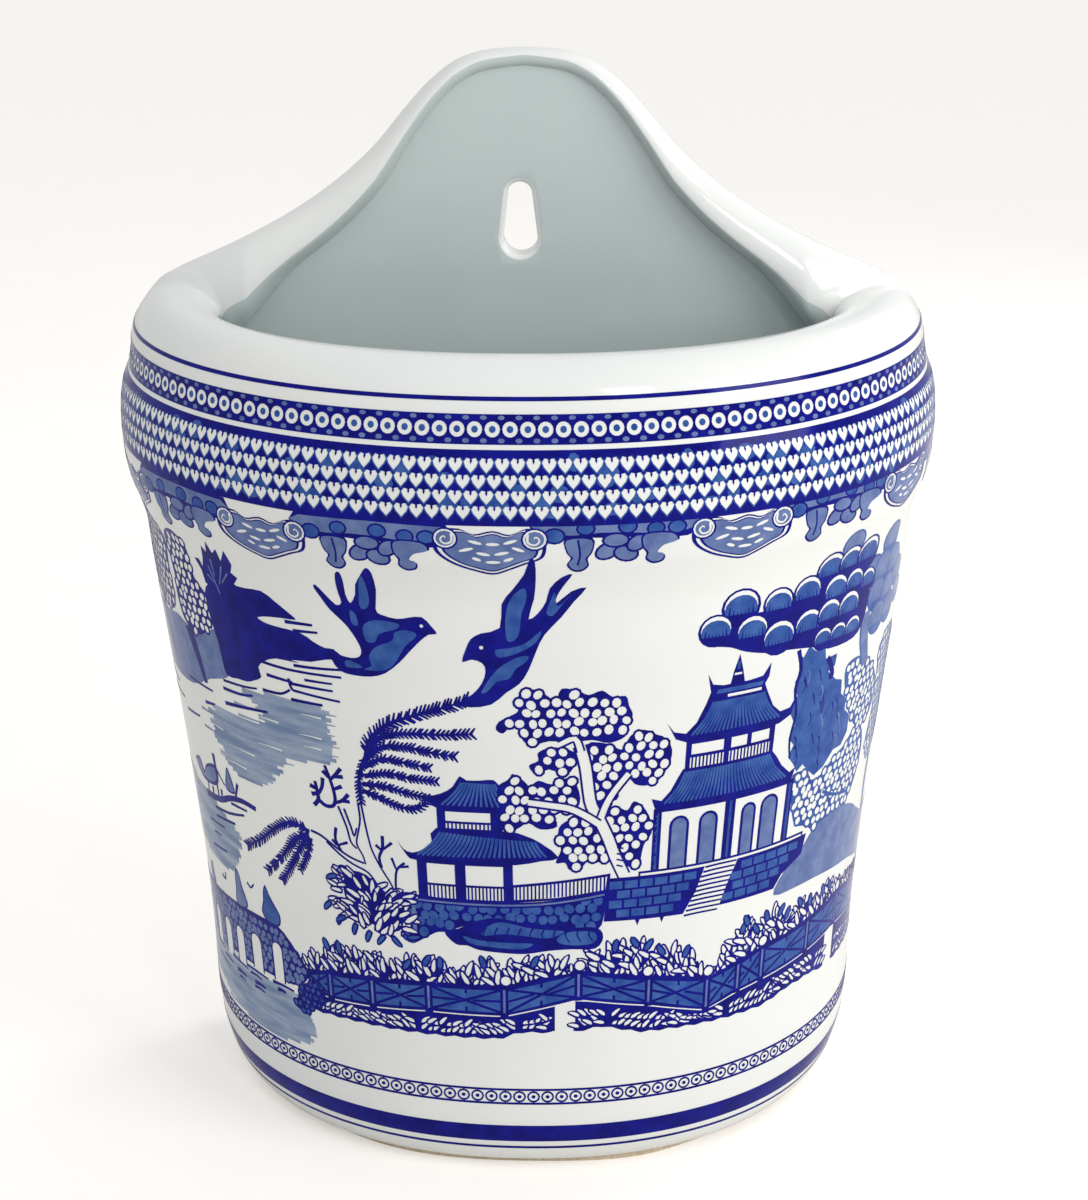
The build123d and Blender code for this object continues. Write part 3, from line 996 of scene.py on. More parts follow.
# %% Far island
blot("pale", [(-139, 146), (-128, 143), (-118, 138), (-106, 137.5), (-98, 139), (-92, 138), (-84, 138),
    (-78, 141), (-77, 133), (-76, 129), (-84, 126), (-95, 121), (-112, 120), (-139, 121)])
brushed([(-69, 127), (-64, 128), (-55, 128.5), (-47, 128), (-45.5, 124), (-45.5, 118), (-46, 113),
    (-52, 112.5), (-58, 112), (-62, 109), (-66, 103), (-72, 101.5), (-80, 102), (-83, 107), (-86, 113),
    (-84, 118), (-78, 118.5), (-70, 117), (-66, 118), (-64, 122)])
for x, z, length in ((-44, 126.5, 6), (-44.5, 123.8, 5), (-45, 121, 6), (-44, 118, 7), (-44.6, 115.5, 6),
        (-66, 119.6, 8), (-68, 122.6, 7), (-58, 110.3, 7), (-62, 107.4, 8), (-66, 105, 7),
        (-84, 110.5, 8), (-85, 115.5, 7)):
    line("wash", 0.7, [(x - length, z), (x + 1.2, z + 0.1)], tip=0.2, smooth=0)
for x, z, length in ((-47, 125.2, 6), (-47.5, 119.6, 7), (-48, 116.6, 5), (-60, 121.2, 9),
        (-70, 120.2, 8), (-60, 113.6, 8), (-74, 104.4, 9), (-82, 112.6, 6), (-70, 109.3, 10)):
    line("white", 0.15, [(x - length, z), (x - length / 2, z + 0.15), (x, z)], tip=0.55)
fruit_cloud([(-97, 160), (-94, 162.7), (-90, 163.2), (-86, 161), (-85, 157), (-84, 153), (-80, 150),
    (-78, 147), (-77.5, 144), (-80, 141), (-84, 138), (-88, 137), (-92, 138.5), (-94, 141), (-95, 146),
    (-94.5, 150), (-96, 155)], 0.92, 2.35)
fruit_cloud([(-121, 160), (-116, 163), (-109, 163.5), (-103, 162), (-98, 159), (-98, 152), (-97, 145),
    (-99, 140), (-106, 139), (-113, 141), (-119, 146), (-123, 152)], 1.0, 2.5)
line("dark", 4.0, [(-91.3, 138), (-88.6, 131), (-86.6, 124)], tip=1.6)
line("dark", 3.2, [(-110, 141), (-108, 133), (-106, 125)], tip=1.4)
blot("dark", [(-80, 150), (-78, 153), (-75, 154.5), (-70, 155), (-65, 155.2), (-60, 155.6), (-56, 153.6),
    (-52, 151.2), (-51, 150.2), (-55, 149.9), (-60, 149.2), (-62, 148.2), (-57, 147.5), (-50, 147),
    (-47, 145.5), (-44, 144.3), (-41.5, 144.3), (-41, 142), (-44, 141.3), (-48, 140), (-52, 139),
    (-58, 138.8), (-62, 137), (-64, 135), (-63.5, 132.5), (-66, 131), (-68.5, 130), (-72, 129.8),
    (-76, 129.5), (-77, 133), (-77.5, 138), (-79, 143)], 2)
blot("dark", [(-82.2, 158.6), (-80.5, 158.8), (-79.3, 157), (-78.4, 160), (-77.6, 163), (-76.3, 161.6),
    (-75.2, 164.8), (-74, 162), (-72.2, 163.5), (-71.6, 160.4), (-69.4, 163.8), (-68, 160.5),
    (-69, 158.2), (-67, 157.2), (-68.4, 155.4), (-66.4, 154.6), (-70, 153), (-75, 152), (-79, 153),
    (-80, 156)], 0)
for a, b in (((-77, 158), (-73.8, 151.5)), ((-72, 159), (-73.6, 154)), ((-75.6, 160), (-75, 155.6)),
        ((-70.3, 157.6), (-72.6, 154.6)), ((-77.8, 155.6), (-75.4, 154))):
    line("pale", 0.55, [a, b], tip=0.3, smooth=0)
blot("white", [(-62, 148.6), (-58, 148.9), (-54, 148.3), (-50, 147.4), (-55, 147.3), (-60, 147.6)])
blot("white", [(-53.5, 139.3), (-49, 139.9), (-44, 140.4), (-41.4, 142.5), (-40.8, 140.2), (-46, 139)])
for width, path_points in (
    (0.9, [(-54, 149.2), (-46.6, 149.6)]), (0.8, [(-52, 147.3), (-45.4, 147.9)]),
        (0.8, [(-66, 137.1), (-55, 136.6), (-40.4, 137.2)]),
    (0.8, [(-53, 138.1), (-47, 138.5), (-39.4, 139.3)]), (0.7, [(-50.4, 134.8), (-43, 135.1)]),
        (0.9, [(-61.6, 133.7), (-54, 133.4)]),
    (0.8, [(-54.8, 133.0), (-43, 133.2)]), (0.8, [(-55, 134.2), (-54.4, 131.6), (-52, 131.2),
        (-41.4, 130.7)]), (0.8, [(-63.6, 129.2), (-58, 129.5), (-55, 131.2)]),
    (0.9, [(-55, 128.7), (-46.2, 128.9)]), (0.7, [(-78, 127.6), (-70, 128.2), (-65.6, 128.9)]),
        (0.9, [(-78.6, 125.3), (-72, 125.6), (-67.4, 126.5)]),
    (1.0, [(-78.8, 121.2), (-70, 122.4), (-63, 123.3)]), (0.9, [(-89, 118), (-84, 118.9)]),
        (0.8, [(-104, 110.5), (-94.5, 112)]),
    (0.8, [(-97, 122.4), (-84, 122.6)]), (0.7, [(-126, 117), (-110, 116)]), (0.8, [(-121, 112), (-106, 113)]),
):
    line("dark", width, path_points, tip=width * 0.7)

# %% Boat house
brushed([(-128, 88), (-116, 90), (-105, 89.5), (-95, 88.2), (-88, 86), (-84, 84), (-83.5, 79), (-86, 74),
    (-90, 70), (-98, 69), (-112, 70), (-128, 74)])
blot("dark", [(-105, 96.2), (-101, 98), (-98.6, 95), (-96, 97.9), (-91, 99.8), (-89, 98.2), (-90.3, 94.2),
    (-96, 92.6), (-101, 92.8)])
blot("pale", [(-104, 96), (-101, 97.2), (-98.8, 94.2), (-96, 97), (-91.4, 98.8), (-90.2, 97.4),
    (-91.2, 94.9), (-96, 93.4), (-101, 93.6)])
for width, path_points in (
    (1.4, [(-90, 103.2), (-89.8, 98.8)]), (0.6, [(-89.6, 99.2), (-86, 95.6)]),
        (0.8, [(-90.6, 94.6), (-90.6, 91)]), (0.7, [(-97, 93.4), (-97, 90.2)]),
    (1.0, [(-93.8, 92.4), (-93.9, 90.6)]), (1.0, [(-88.4, 93.6), (-88.6, 91.6)]),
        (1.9, [(-99, 88.8), (-90, 90.2), (-84, 92.8), (-78, 94), (-72.8, 93.6)]),
    (0.8, [(-84, 91.4), (-76.8, 91.7)]), (0.9, [(-94, 86.6), (-86, 87.8), (-78.4, 89.9)]),
        (0.9, [(-94.4, 84), (-83.5, 85.6)]),
    (0.8, [(-100, 81), (-90, 82)]), (0.9, [(-101, 73), (-91, 74.6)]), (0.7, [(-98, 78), (-93, 78.4)]),
        (0.9, [(-120, 86), (-106, 88)]), (0.8, [(-122, 80), (-108, 82)]),
    (1.0, [(-79.4, 98.4), (-81.4, 93.6)]), (0.7, [(-82, 69.3), (-80.4, 68.4), (-78.8, 69.9)]),
        (0.7, [(-97.4, 65.4), (-95.4, 64.8), (-94.8, 67)]),
):
    line("dark", width, path_points, tip=width * 0.7)
outlined([(-85.4, 95), (-84.6, 99), (-83.4, 101.8), (-82, 99), (-81.4, 95)])

# %% Bridge
brushed([(-139, 42), (-120, 40), (-104, 38), (-95, 38.4), (-85, 36.8), (-78, 38.2), (-68, 41.7),
    (-63.5, 41.6), (-61, 37), (-61.2, 31), (-66, 28.4), (-75, 27), (-88, 27.4), (-104, 29.5), (-122, 30),
    (-139, 33)])
for x, z, length in ((-60.4, 39.5, 6), (-60.6, 34.4, 7), (-61.4, 32, 6), (-66, 28, 12), (-90, 27.6, 12)):
    line("wash", 0.7, [(x - length, z), (x + 1, z)], tip=0.2, smooth=0)
fruit_cloud([(-139, 56.5), (-122, 57), (-104, 58.6), (-96, 59.4), (-88, 60.2), (-80, 60.4), (-74, 60.8),
    (-70, 60.3), (-66, 57.2), (-62, 53), (-60, 50), (-62.5, 46.6), (-66, 45), (-70, 44.8), (-88, 44.2),
    (-104, 43), (-139, 42)], 0.95, 2.3, "dark", "pale", 0.9)
line("dark", 0.8, [(-139, 56.6), (-120, 57.2), (-104, 58.6), (-88, 60.2), (-74, 60.8), (-70, 60.2),
    (-66, 57.2), (-61, 51.4)], smooth=2)
for x0, x1, low, top in ((-131, -126, 40, 51.2), (-120, -115, 40.4, 51.4), (-110, -105.4, 40.6, 51.6),
        (-100.6, -96.2, 41, 52), (-92.2, -88, 42, 53), (-83.4, -79, 43.6, 54.4),
        (-73.6, -69.9, 43.8, 55.4)):
    arch("dark", x0 - 0.5, x1 + 0.5, low, top + 0.5)
    arch("white", x0, x1, low - 0.4, top)
outlined([(-89.4, 60.2), (-88.7, 65), (-88.2, 69.8), (-87, 71.4), (-85.8, 69.8), (-85, 66.6), (-83.2, 63),
    (-84.2, 60.6)], "pale", 2)
outlined([(-74.6, 60.8), (-76.4, 63.2), (-75.3, 66.4), (-74.8, 69.6), (-73.6, 71.7), (-72.5, 69.4),
    (-70.6, 66.8), (-68.9, 64.4), (-69, 62), (-70.4, 60.6)], "mid", 2)
outlined([(-108.4, 58.6), (-109.6, 61), (-108.2, 64.4), (-107, 64.6), (-106, 61.6), (-105.4, 58.8)],
    "pale", 2)
for x0, x1, z, width in ((-88, -77, 42.6, 0.8), (-86, -80, 41.2, 0.9), (-83.8, -78.6, 39.2, 1.3),
        (-84, -79, 37.8, 0.9), (-97, -87, 41.4, 0.8), (-94, -88.6, 38.6, 1.4), (-93, -89, 37, 0.8),
        (-75, -66.4, 42.9, 1.0), (-73, -69.6, 41.3, 1.3), (-104, -97, 38.8, 1.2), (-112, -104, 40, 0.9),
        (-110, -100, 36.4, 0.8), (-126, -116, 38.6, 0.9)):
    line("dark", width, [(x0, z), ((x0 + x1) / 2, z + 0.25), (x1, z)], tip=width * 0.6)
fruit_cloud([(-66.8, 39.4), (-65, 42), (-64.4, 45.4), (-61.5, 47), (-57, 49), (-55, 46), (-56, 42),
    (-59.5, 40.3), (-61, 38.2), (-63, 38)], 0.6, 1.9, "dark", "mid")

# %% Swallows
blot("dark", [(-16.8, 151), (-18, 152.8), (-20, 154.9), (-22.9, 154.6), (-25.7, 154), (-29.3, 154.7),
    (-30.5, 156), (-29.9, 161), (-30.3, 165.4), (-31.4, 166.6), (-32.9, 164.6), (-34.6, 161.7),
    (-35, 159.2), (-36.4, 156.7), (-37.4, 158.9), (-37.4, 162.4), (-37.9, 164.6), (-38.9, 164.2),
    (-39.3, 161.7), (-39.1, 158.9), (-38.6, 156.6), (-40, 155.8), (-42.5, 158.1), (-44.6, 160.3),
    (-45.1, 159.4), (-43.6, 157.1), (-41.8, 154.6), (-39.3, 152.4), (-37.5, 150.6), (-35.7, 147.8),
    (-34.7, 145.3), (-35.2, 143.5), (-37.1, 142.8), (-40, 143.1), (-41.6, 144.2), (-42.4, 141.7),
    (-40.4, 139), (-37.1, 138.4), (-32.9, 138.6), (-29.3, 139.9), (-25.7, 143.1), (-23.6, 145.6),
    (-20.7, 148.9), (-18.6, 150.7)], 2)
blot("mid", [(-33.9, 151), (-32.1, 152.8), (-29.3, 153.3), (-25.4, 152.8), (-26.1, 151.4), (-30, 149.9),
    (-31.1, 147.8), (-33.2, 147.6)])
blot("mid", [(-21.4, 150.3), (-23.6, 151.4), (-26.4, 150.6), (-27.1, 148.5), (-31.1, 146.4),
    (-32.9, 143.9), (-32.5, 141.4), (-34.3, 140.3), (-30, 140.5), (-27.1, 142.4), (-24.3, 147.1)])
blot("mid", [(-38.9, 141.9), (-37.1, 142), (-34.8, 140.7), (-38.6, 140.3)])
blot("mid", [(-33.6, 163.1), (-32.5, 163.9), (-31.8, 158.1), (-32.9, 155.8), (-34.3, 156.6)])
blot("mid", [(-36.8, 154.8), (-35.4, 154.2), (-35, 151.4), (-36.4, 151.7)])
oval("white", -20.2, 152.7, 0.45, sides=8)
blot("dark", [(-7.1, 151.5), (-9.3, 150), (-10.5, 147.4), (-11.4, 144.2), (-9.3, 144.9), (-6.9, 144.1),
    (-6.2, 142), (-7.1, 138.9), (-9.3, 136), (-12.4, 133.7), (-10, 132.6), (-5.1, 133.5), (-1.6, 136.7),
    (1.3, 138.9), (3.4, 142.4), (5.2, 147.4), (7, 151.4), (10.6, 155.6), (13.4, 159.6), (15.9, 163.1),
    (12.7, 162.2), (9.6, 159.2), (9.7, 161.2), (11.3, 164.2), (12.8, 166.8), (10.6, 166), (8.1, 163.1),
    (7.3, 159.6), (5.6, 156.7), (3.5, 155.2), (4.7, 160.3), (5.1, 165.3), (4.9, 170.3), (3.8, 170.6),
    (2.6, 166.7), (-0.1, 162.4), (-2.3, 158.9), (-2.8, 153)], 2)
blot("mid", [(-0.9, 158.9), (0.6, 161.7), (2.7, 163.1), (3.1, 160.3), (2, 156.7), (1.6, 153.1),
    (0.9, 150.5), (-1.2, 149.8), (-1.6, 154.6)])
blot("mid", [(6.3, 152.4), (2.7, 149.2), (-0.9, 148), (-3.9, 147.4), (-3, 145.6), (1.3, 146.9), (5, 149.4)])
blot("mid", [(3.4, 146), (0.6, 145.5), (-3.7, 142.4), (-7.3, 136.7), (-5.9, 136.9), (-3.7, 139.4),
    (-0.9, 140.3), (0.6, 142.8), (2.7, 144.4)])
blot("mid", [(8.4, 160.2), (7.4, 156.9), (8.8, 156.1), (11.2, 159.4), (12.6, 161.2), (9.8, 158.4),
    (9.2, 162)])
oval("white", -7.0, 148.0, 0.5, sides=8)
press("far_shore", 2.8, 3.0)


# %% [markdown]
# ## Willow, pavilion and fruit tree
# The middle of the print is the shore with a willow, a pavilion on a stone wall and a
# tree heavy with round fruits, whose white trunk runs up between its dark clouds.

# %% Pavilion
blot("dark", [(-23.2, 110.4), (-21.5, 108.4), (-18, 109.2), (-15, 111.2), (-13.2, 114.2), (-11.6, 113.2),
    (-8, 113.3), (-5, 113.5), (-3, 111), (0, 108.5), (1, 107), (-2, 105), (-10, 105), (-18.6, 105),
    (-21, 107)], 2)
stripes("mid", 0.62, ((-13, 112.6), (-4.6, 112.4)), ((-18.6, 106.2), (-0.6, 106.2)), 13, 0.1)
box("dark", -19.2, 99.4, -3.2, 105.4)
box("white", -17.1, 101.9, -6.1, 104.5)
box("white", -17.1, 99.9, -6.1, 101.3)
bars("dark", -17, -6.2, (99.8, 99.8), (101.4, 101.4), 1.0, 0.42)
blot("dark", [(-29.6, 95), (-28.3, 93), (-26, 92.2), (-23, 93.6), (-20.8, 96), (-19.5, 99.7), (-3, 99.7),
    (2, 98.6), (6, 96.5), (10.5, 92.4), (6, 91.5), (0, 90.4), (-10, 90.2), (-24.5, 90.2), (-27.5, 91.4)],
    2)
stripes("mid", 0.66, ((-19, 98.8), (5, 96.8)), ((-25.4, 91.8), (8, 92.6)), 26, 0.12)
box("dark", -25.0, 79.8, -0.9, 90.4)
box("white", -22.5, 84.3, -15.4, 89.8)
box("white", -12.7, 84.3, -3.3, 89.8)
box("white", -22.5, 80.3, -15.4, 83.7)
box("white", -12.7, 80.3, -3.3, 83.7)
bars("dark", -22.4, -15.5, (80, 80), (84, 84), 1.0, 0.42)
bars("dark", -12.6, -3.4, (80, 80), (84, 84), 1.0, 0.42)
blot("white", [(-0.9, 90.1), (10, 91.8), (23, 91), (23, 86.6), (10, 85.4), (-0.9, 84.2)], 0)
blot("dark", [(-0.9, 84.8), (10, 85.9), (23.4, 87.4), (23, 82), (10, 80.6), (-0.9, 79.8)], 0)
blot("white", [(-0.7, 84.1), (10, 85.2), (22.6, 86.6), (22.2, 82.9), (10, 81.2), (-0.7, 80.6)], 0)
bars("dark", -0.6, 22.4, (80.4, 82.6), (84.4, 86.8), 1.0, 0.42)
fruit_cloud([(-27.2, 79.9), (-16, 79.7), (-3, 79.7), (10, 80.4), (22.5, 82.3), (22.2, 77), (20.6, 71.8),
    (14, 72.3), (5, 73), (-3, 73), (-9, 74), (-14, 72.6), (-18, 70.8), (-21, 70.3), (-24.5, 68.1),
    (-27.2, 67.6)], 1.25, 2.75, "dark", "mid", 0.9)
line("dark", 1.5, [(-27.2, 79.2), (-3, 79), (10, 79.8), (22.4, 81.7)])
line("pale", 0.5, [(-26.4, 79.2), (-3, 79), (10, 79.8), (22, 81.6)])
line("pale", 1.0, [(-26.6, 78.4), (-26.6, 69)], smooth=0)
blot("dark", [(-18.8, 70.6), (-15, 71.9), (-11, 74.2), (-5, 75.4), (3, 73.8), (12, 72.7), (20, 72.4),
    (22, 69.5), (20, 66.4), (14, 66.5), (8, 66.2), (2, 65.3), (-4, 65.5), (-10, 66.1), (-13, 67.2),
    (-16, 67.4)])
blot("mid", [(-4, 74.3), (2, 72.9), (8, 72.1), (12, 71.6), (8, 69.8), (2, 70.4), (-4, 70.9), (-9, 70.2),
    (-8, 72.6)])
blot("mid", [(13, 71.4), (19, 71.3), (20.4, 69.2), (18, 67.6), (12, 67.9), (10, 69.4)])
blot("mid", [(-14, 69.9), (-10, 68.9), (-2, 68.4), (4, 68.2), (1, 66.7), (-6, 67), (-12, 67.8)])
for x in range(-8, 20, 3):
    line("dark", 0.5, [(x, 72.6), (x - 0.8, 70.6), (x + 0.4, 68.4)], tip=0.3)

# %% Fruit tree
for outline in (
    [(0.5, 135), (3.5, 137.6), (7, 136.3), (9.5, 134.5), (10.8, 137.6), (14.5, 137), (17, 135.8),
        (20, 136.8), (22.5, 135), (25.5, 135), (26.3, 132.5), (27.3, 129.8), (25.5, 127.5), (25.8, 124.5),
        (22, 123), (18, 124), (13, 123.5), (8, 124), (4, 122.8), (1.8, 124.5), (1.5, 127.5),
        (-0.5, 128.4), (-2.5, 126), (-4.2, 127), (-3.5, 129), (-1, 130.5), (1, 132)],
    [(3.3, 117.5), (5, 115.2), (8, 116.5), (12, 115), (14, 117.5), (13.8, 121), (9, 122.4), (5.5, 121),
        (5.5, 118.8)],
    [(16.4, 122.6), (22, 122.7), (25, 121), (27, 124.5), (30, 125.8), (32.5, 124.5), (35.5, 123),
        (37.3, 119.5), (36.6, 115.5), (34.5, 112), (31.5, 110.8), (28.5, 111.5), (26, 114), (23, 107),
        (20, 106), (17.5, 112)],
    [(-4, 112), (-1.5, 113.8), (-0.5, 115.3), (2, 113.5), (3.5, 112), (5.5, 113.5), (8.5, 112.5),
        (11, 113.8), (13.8, 113.6), (15.5, 108.5), (14, 105), (9.5, 104.5), (10, 101), (6, 100.3),
        (3, 102), (0, 100.2), (-2.8, 99.8), (-4.2, 102), (-3.8, 106), (-4.3, 109)],
    [(10.2, 99), (11, 101.5), (14.5, 103.4), (18, 103.5), (20.5, 101), (22.5, 99), (22.4, 95), (23, 91.4),
        (21, 90.5), (18, 91.5), (15.5, 88.8), (13, 89), (12, 91), (9.7, 91), (11, 94.5), (10.3, 96.5)],
    [(21.5, 103), (24.5, 105.4), (27, 104.5), (28.5, 106.8), (31, 105), (33, 101), (33.3, 97.5),
        (31.5, 94.5), (30.5, 89.5), (28, 88.8), (25.5, 91.5), (24, 95.5), (21.5, 98)],
):
    fruit_cloud(outline, 1.12, 2.75)
for width, path_points in ((2.6, [(15.2, 122.5), (16.6, 117), (17.4, 111), (18.2, 106.5), (20.4, 102),
        (22.6, 97), (24.4, 92), (26.8, 86.6)]), (1.7, [(3, 107.6), (8, 106.8), (13, 105.8), (17, 103.6),
        (20, 101.4)]), (1.6, [(27, 114.5), (24, 110.5), (22, 107), (20.6, 103)]),
        (1.4, [(10.4, 123), (14, 124.5), (15.4, 121)])):
    line("dark", width + 0.9, path_points)
    line("white", width - 0.2, path_points, tip=width)
for z in (89.6, 91.2, 92.8, 94.6):
    line("dark", 0.4, [(24.8, z), (26.4, z - 0.5)], smooth=0)

# %% Willow
for points_of_frond, barb in (
    ([(-36, 117), (-34.6, 121.6), (-30, 126.4), (-22, 130), (-16, 132.2), (-11, 134.2)], 2.4),
        ([(-35.4, 119), (-31, 123.4), (-24, 124.6), (-16, 125), (-9.6, 125.6)], 1.9),
    ([(-36, 116.4), (-31.4, 120.4), (-25, 120.8), (-19, 119.9), (-14, 119.4)], 1.8),
        ([(-36.8, 114), (-32, 117), (-26, 116.6), (-20.4, 115.9)], 1.7),
    ([(-37, 111.6), (-31, 113.2), (-25, 112.6), (-18.8, 112.4)], 1.7),
        ([(-37.6, 109.4), (-32, 109.6), (-27, 108.6), (-20.8, 107.6)], 1.7),
        ([(-37.8, 107.6), (-33, 106.2), (-28.6, 104.6), (-24.4, 104.4), (-21.6, 106.4)], 1.6),
    ([(-36, 117), (-38, 112.4), (-38.7, 108), (-38.4, 104)], 1.5),
    ([(-54.6, 92.6), (-60, 93.8), (-66, 90.6), (-72, 85.6), (-78.6, 81.4)], 2.0),
        ([(-55, 92), (-60, 89), (-64.4, 83.4), (-71.4, 76.6)], 1.9),
        ([(-55, 91.4), (-58.6, 86.6), (-62, 81), (-66, 75.6)], 1.8),
        ([(-54.4, 91), (-56, 86), (-59, 80.6)], 1.5),
):
    frond(points_of_frond, barb)
for width, path_points in (
    (0.55, [(-38.6, 104.6), (-38.0, 99), (-37.4, 94.6), (-36.6, 91), (-34.6, 86.6), (-32, 82),
        (-31, 78)]), (0.55, [(-39.4, 104), (-39.2, 99.6), (-40, 96), (-40.8, 92.4), (-39.4, 89.4),
        (-38.8, 87)]),
    (0.6, [(-43.4, 101.6), (-42, 97), (-41.3, 94.4), (-40.4, 96.8)]),
        (0.6, [(-45, 102), (-43.2, 96.6), (-42.4, 92.6), (-40.9, 91)]),
        (0.7, [(-54, 93.2), (-51, 92.5), (-47, 90.2), (-43, 88.2), (-39.2, 87.2)]),
    (0.6, [(-49.6, 91.2), (-46, 88.4), (-42.5, 86.4), (-38.4, 84.8), (-36, 81.6), (-34, 78)]),
        (0.9, [(-46.3, 95.8), (-46.8, 92.4), (-45.4, 89.4)]), (0.8, [(-43.4, 92.2), (-46, 91)]),
        (0.8, [(-47.8, 92.2), (-46.6, 90.8)]),
    (1.2, [(-52, 100.8), (-50.6, 102.6), (-50.6, 105), (-51, 107.6)]),
        (1.2, [(-52.6, 106.2), (-50.4, 105.4)]), (1.2, [(-52.4, 103.8), (-50.3, 104.4)]),
        (1.1, [(-48.6, 109), (-49, 106.6), (-50.2, 104.4)]),
    (1.1, [(-50.4, 102.6), (-48.6, 101.4), (-46.4, 101.8), (-45.6, 104), (-46.2, 108), (-47.6, 112.6)]),
        (1.1, [(-48.4, 111), (-46.8, 109.4)]), (1.1, [(-43.4, 107.7), (-45.8, 106.4)]),
        (1.1, [(-43.2, 112.6), (-44.8, 110.6), (-46.2, 109.2)]),
    (1.1, [(-42.8, 110.4), (-45.2, 110)]), (1.1, [(-41.8, 105.8), (-43.6, 103.8), (-45.6, 102.8)]),
        (1.0, [(-41.6, 103.8), (-44, 103.6)]), (0.9, [(-33.6, 95.8), (-33.8, 92.4), (-34.9, 89.6),
        (-34.4, 86.8)]),
    (0.8, [(-35.6, 93), (-34, 91.6)]), (0.8, [(-31.2, 94.2), (-33.7, 92)]),
        (0.7, [(-28.2, 89), (-30.4, 86.8), (-31, 82.6), (-31, 78)]), (0.7, [(-31.6, 90), (-30.6, 87)]),
        (0.7, [(-27.2, 88.2), (-29.8, 87.6)]),
):
    line("dark", width, path_points, tip=width * 0.75)

# %% Bush at the willow's foot
bush = [(-45, 85), (-48, 80), (-50, 76), (-47, 72), (-44, 70), (-40, 68), (-35, 67), (-31, 67.4),
    (-28.4, 70), (-28, 76), (-29, 82), (-34, 79), (-38, 83)]
blot("dark", [(-44, 84), (-46, 79), (-44, 73), (-38, 70), (-32, 69), (-29.6, 72), (-29.4, 80), (-34, 80),
    (-39, 84)])
for k in range(120):
    x, z = hand.uniform(-50, -28), 85 - 18 * (k / 120)
    if holds(bush, x, z):
        lean = 90 + (-38 - x) * 6 + hand.uniform(-25, 25) + (35 if x < -38 else -35)
        leaf(x, z, hand.uniform(3.2, 5.0), lean, 0.26, "white", hand.uniform(-0.35, 0.35))
for x, z, lean in ((-50, 74, 215), (-47, 71, 230), (-43, 69.4, 240), (-39, 68, 235), (-35, 67.4, 220),
        (-33, 67.6, 300), (-30, 68.6, 320), (-29, 67.8, 0), (-47.5, 82, 190), (-46, 70.6, 200)):
    leaf(x, z, 3.8, lean, 0.24, "mid", 0.2)
press("pavilion_shore", 2.9, 3.2)


# %% [markdown]
# ## Temple and pines
# A two-storey temple stands on a brick terrace with steps. A pine with cloud-shaped
# branches, a dark fir and a pale hill close the view at the right.

# %% Hill and right trees
blot("pale", [(71, 71.6), (80, 71.1), (88, 70.8), (98, 69.5), (108, 67.8), (118, 64.5), (128, 61),
    (139, 60), (139, 76), (128, 78), (118, 78), (110, 82), (106, 84.6), (100, 87), (92, 88), (84, 86),
    (80, 82), (74, 77.4)])
fruit_cloud([(73, 105), (78, 104.5), (80, 101.4), (84, 101.5), (88, 104), (93, 106), (98, 109),
    (103, 108), (106, 101), (104, 93), (100, 88.4), (94, 88), (88, 87.4), (84, 86), (80, 88.5), (76, 90),
    (74, 95), (73, 100)], 0.98, 2.35, "mid")
fruit_cloud([(88.5, 129), (93, 130.6), (99, 128.6), (105, 124), (110, 117), (108, 110), (102, 108.6),
    (97, 111), (93.4, 116), (90, 122)], 0.98, 2.35, "mid")
fruit_cloud([(108, 128), (116, 131), (125, 128), (131, 119), (130, 108), (124, 99), (115, 95), (109, 100),
    (111, 110), (110, 119)], 1.05, 2.5, "mid")
line("mid", 2.2, [(118, 96), (117, 88), (119, 78)])
line("mid", 0.9, [(86, 96), (92, 93), (100, 91)])
fir = [(69, 139), (71.4, 137), (73, 139.6), (75.4, 137.6), (78.4, 138.6), (79.4, 134.4), (83.6, 134.6),
    (83.4, 131.6), (81, 130.6), (84.6, 127.4), (87.4, 126.4), (88, 122.4), (90.6, 120.4), (91, 117),
    (93.8, 114.6), (94, 110), (91.6, 107), (88, 107), (84.5, 103.6), (81, 102.3), (78.4, 104.4),
    (76, 107), (74, 105.6), (72.6, 108), (70.4, 110.6), (71.8, 113.5), (69.8, 116), (71.4, 119),
    (69.2, 123), (71, 127), (69.6, 131), (71.4, 134)]
blot("mid", fir, 0)
for k in range(46):
    x, z = hand.uniform(71, 92), hand.uniform(104, 136)
    if holds(fir, x, z) and holds(fir, x + 1.5, z - 3):
        line("dark" if k % 3 else "pale", 0.5, [(x, z), (x + 0.7, z - 1.8),
            (x + hand.uniform(-0.6, 1.6), z - 3.6)], tip=0.25)
line("dark", 1.2, [(69.6, 139.4), (71, 134), (70, 129), (71.2, 122), (70.2, 115.6), (71, 110)], tip=0.5)
line("dark", 1.5, [(80, 134.6), (82, 131.6), (82.8, 129.2)])
oval("dark", 82.4, 129.1, 1.05, sides=12)
line("pale", 4.4, [(94.5, 142), (95.6, 135), (98.6, 127)], tip=3.0)
line("mid", 0.6, [(92.8, 140), (93.8, 134), (96.8, 127)])

# %% Cloud pine
blot("dark", [(43, 148), (45, 145.6), (50, 144.4), (54, 142.6), (60, 141), (66, 140.4), (74, 139),
    (80, 137), (90, 137), (93.6, 141), (94.6, 150), (92, 158), (80, 159), (74, 157), (66, 153), (58, 152),
    (48, 152)])


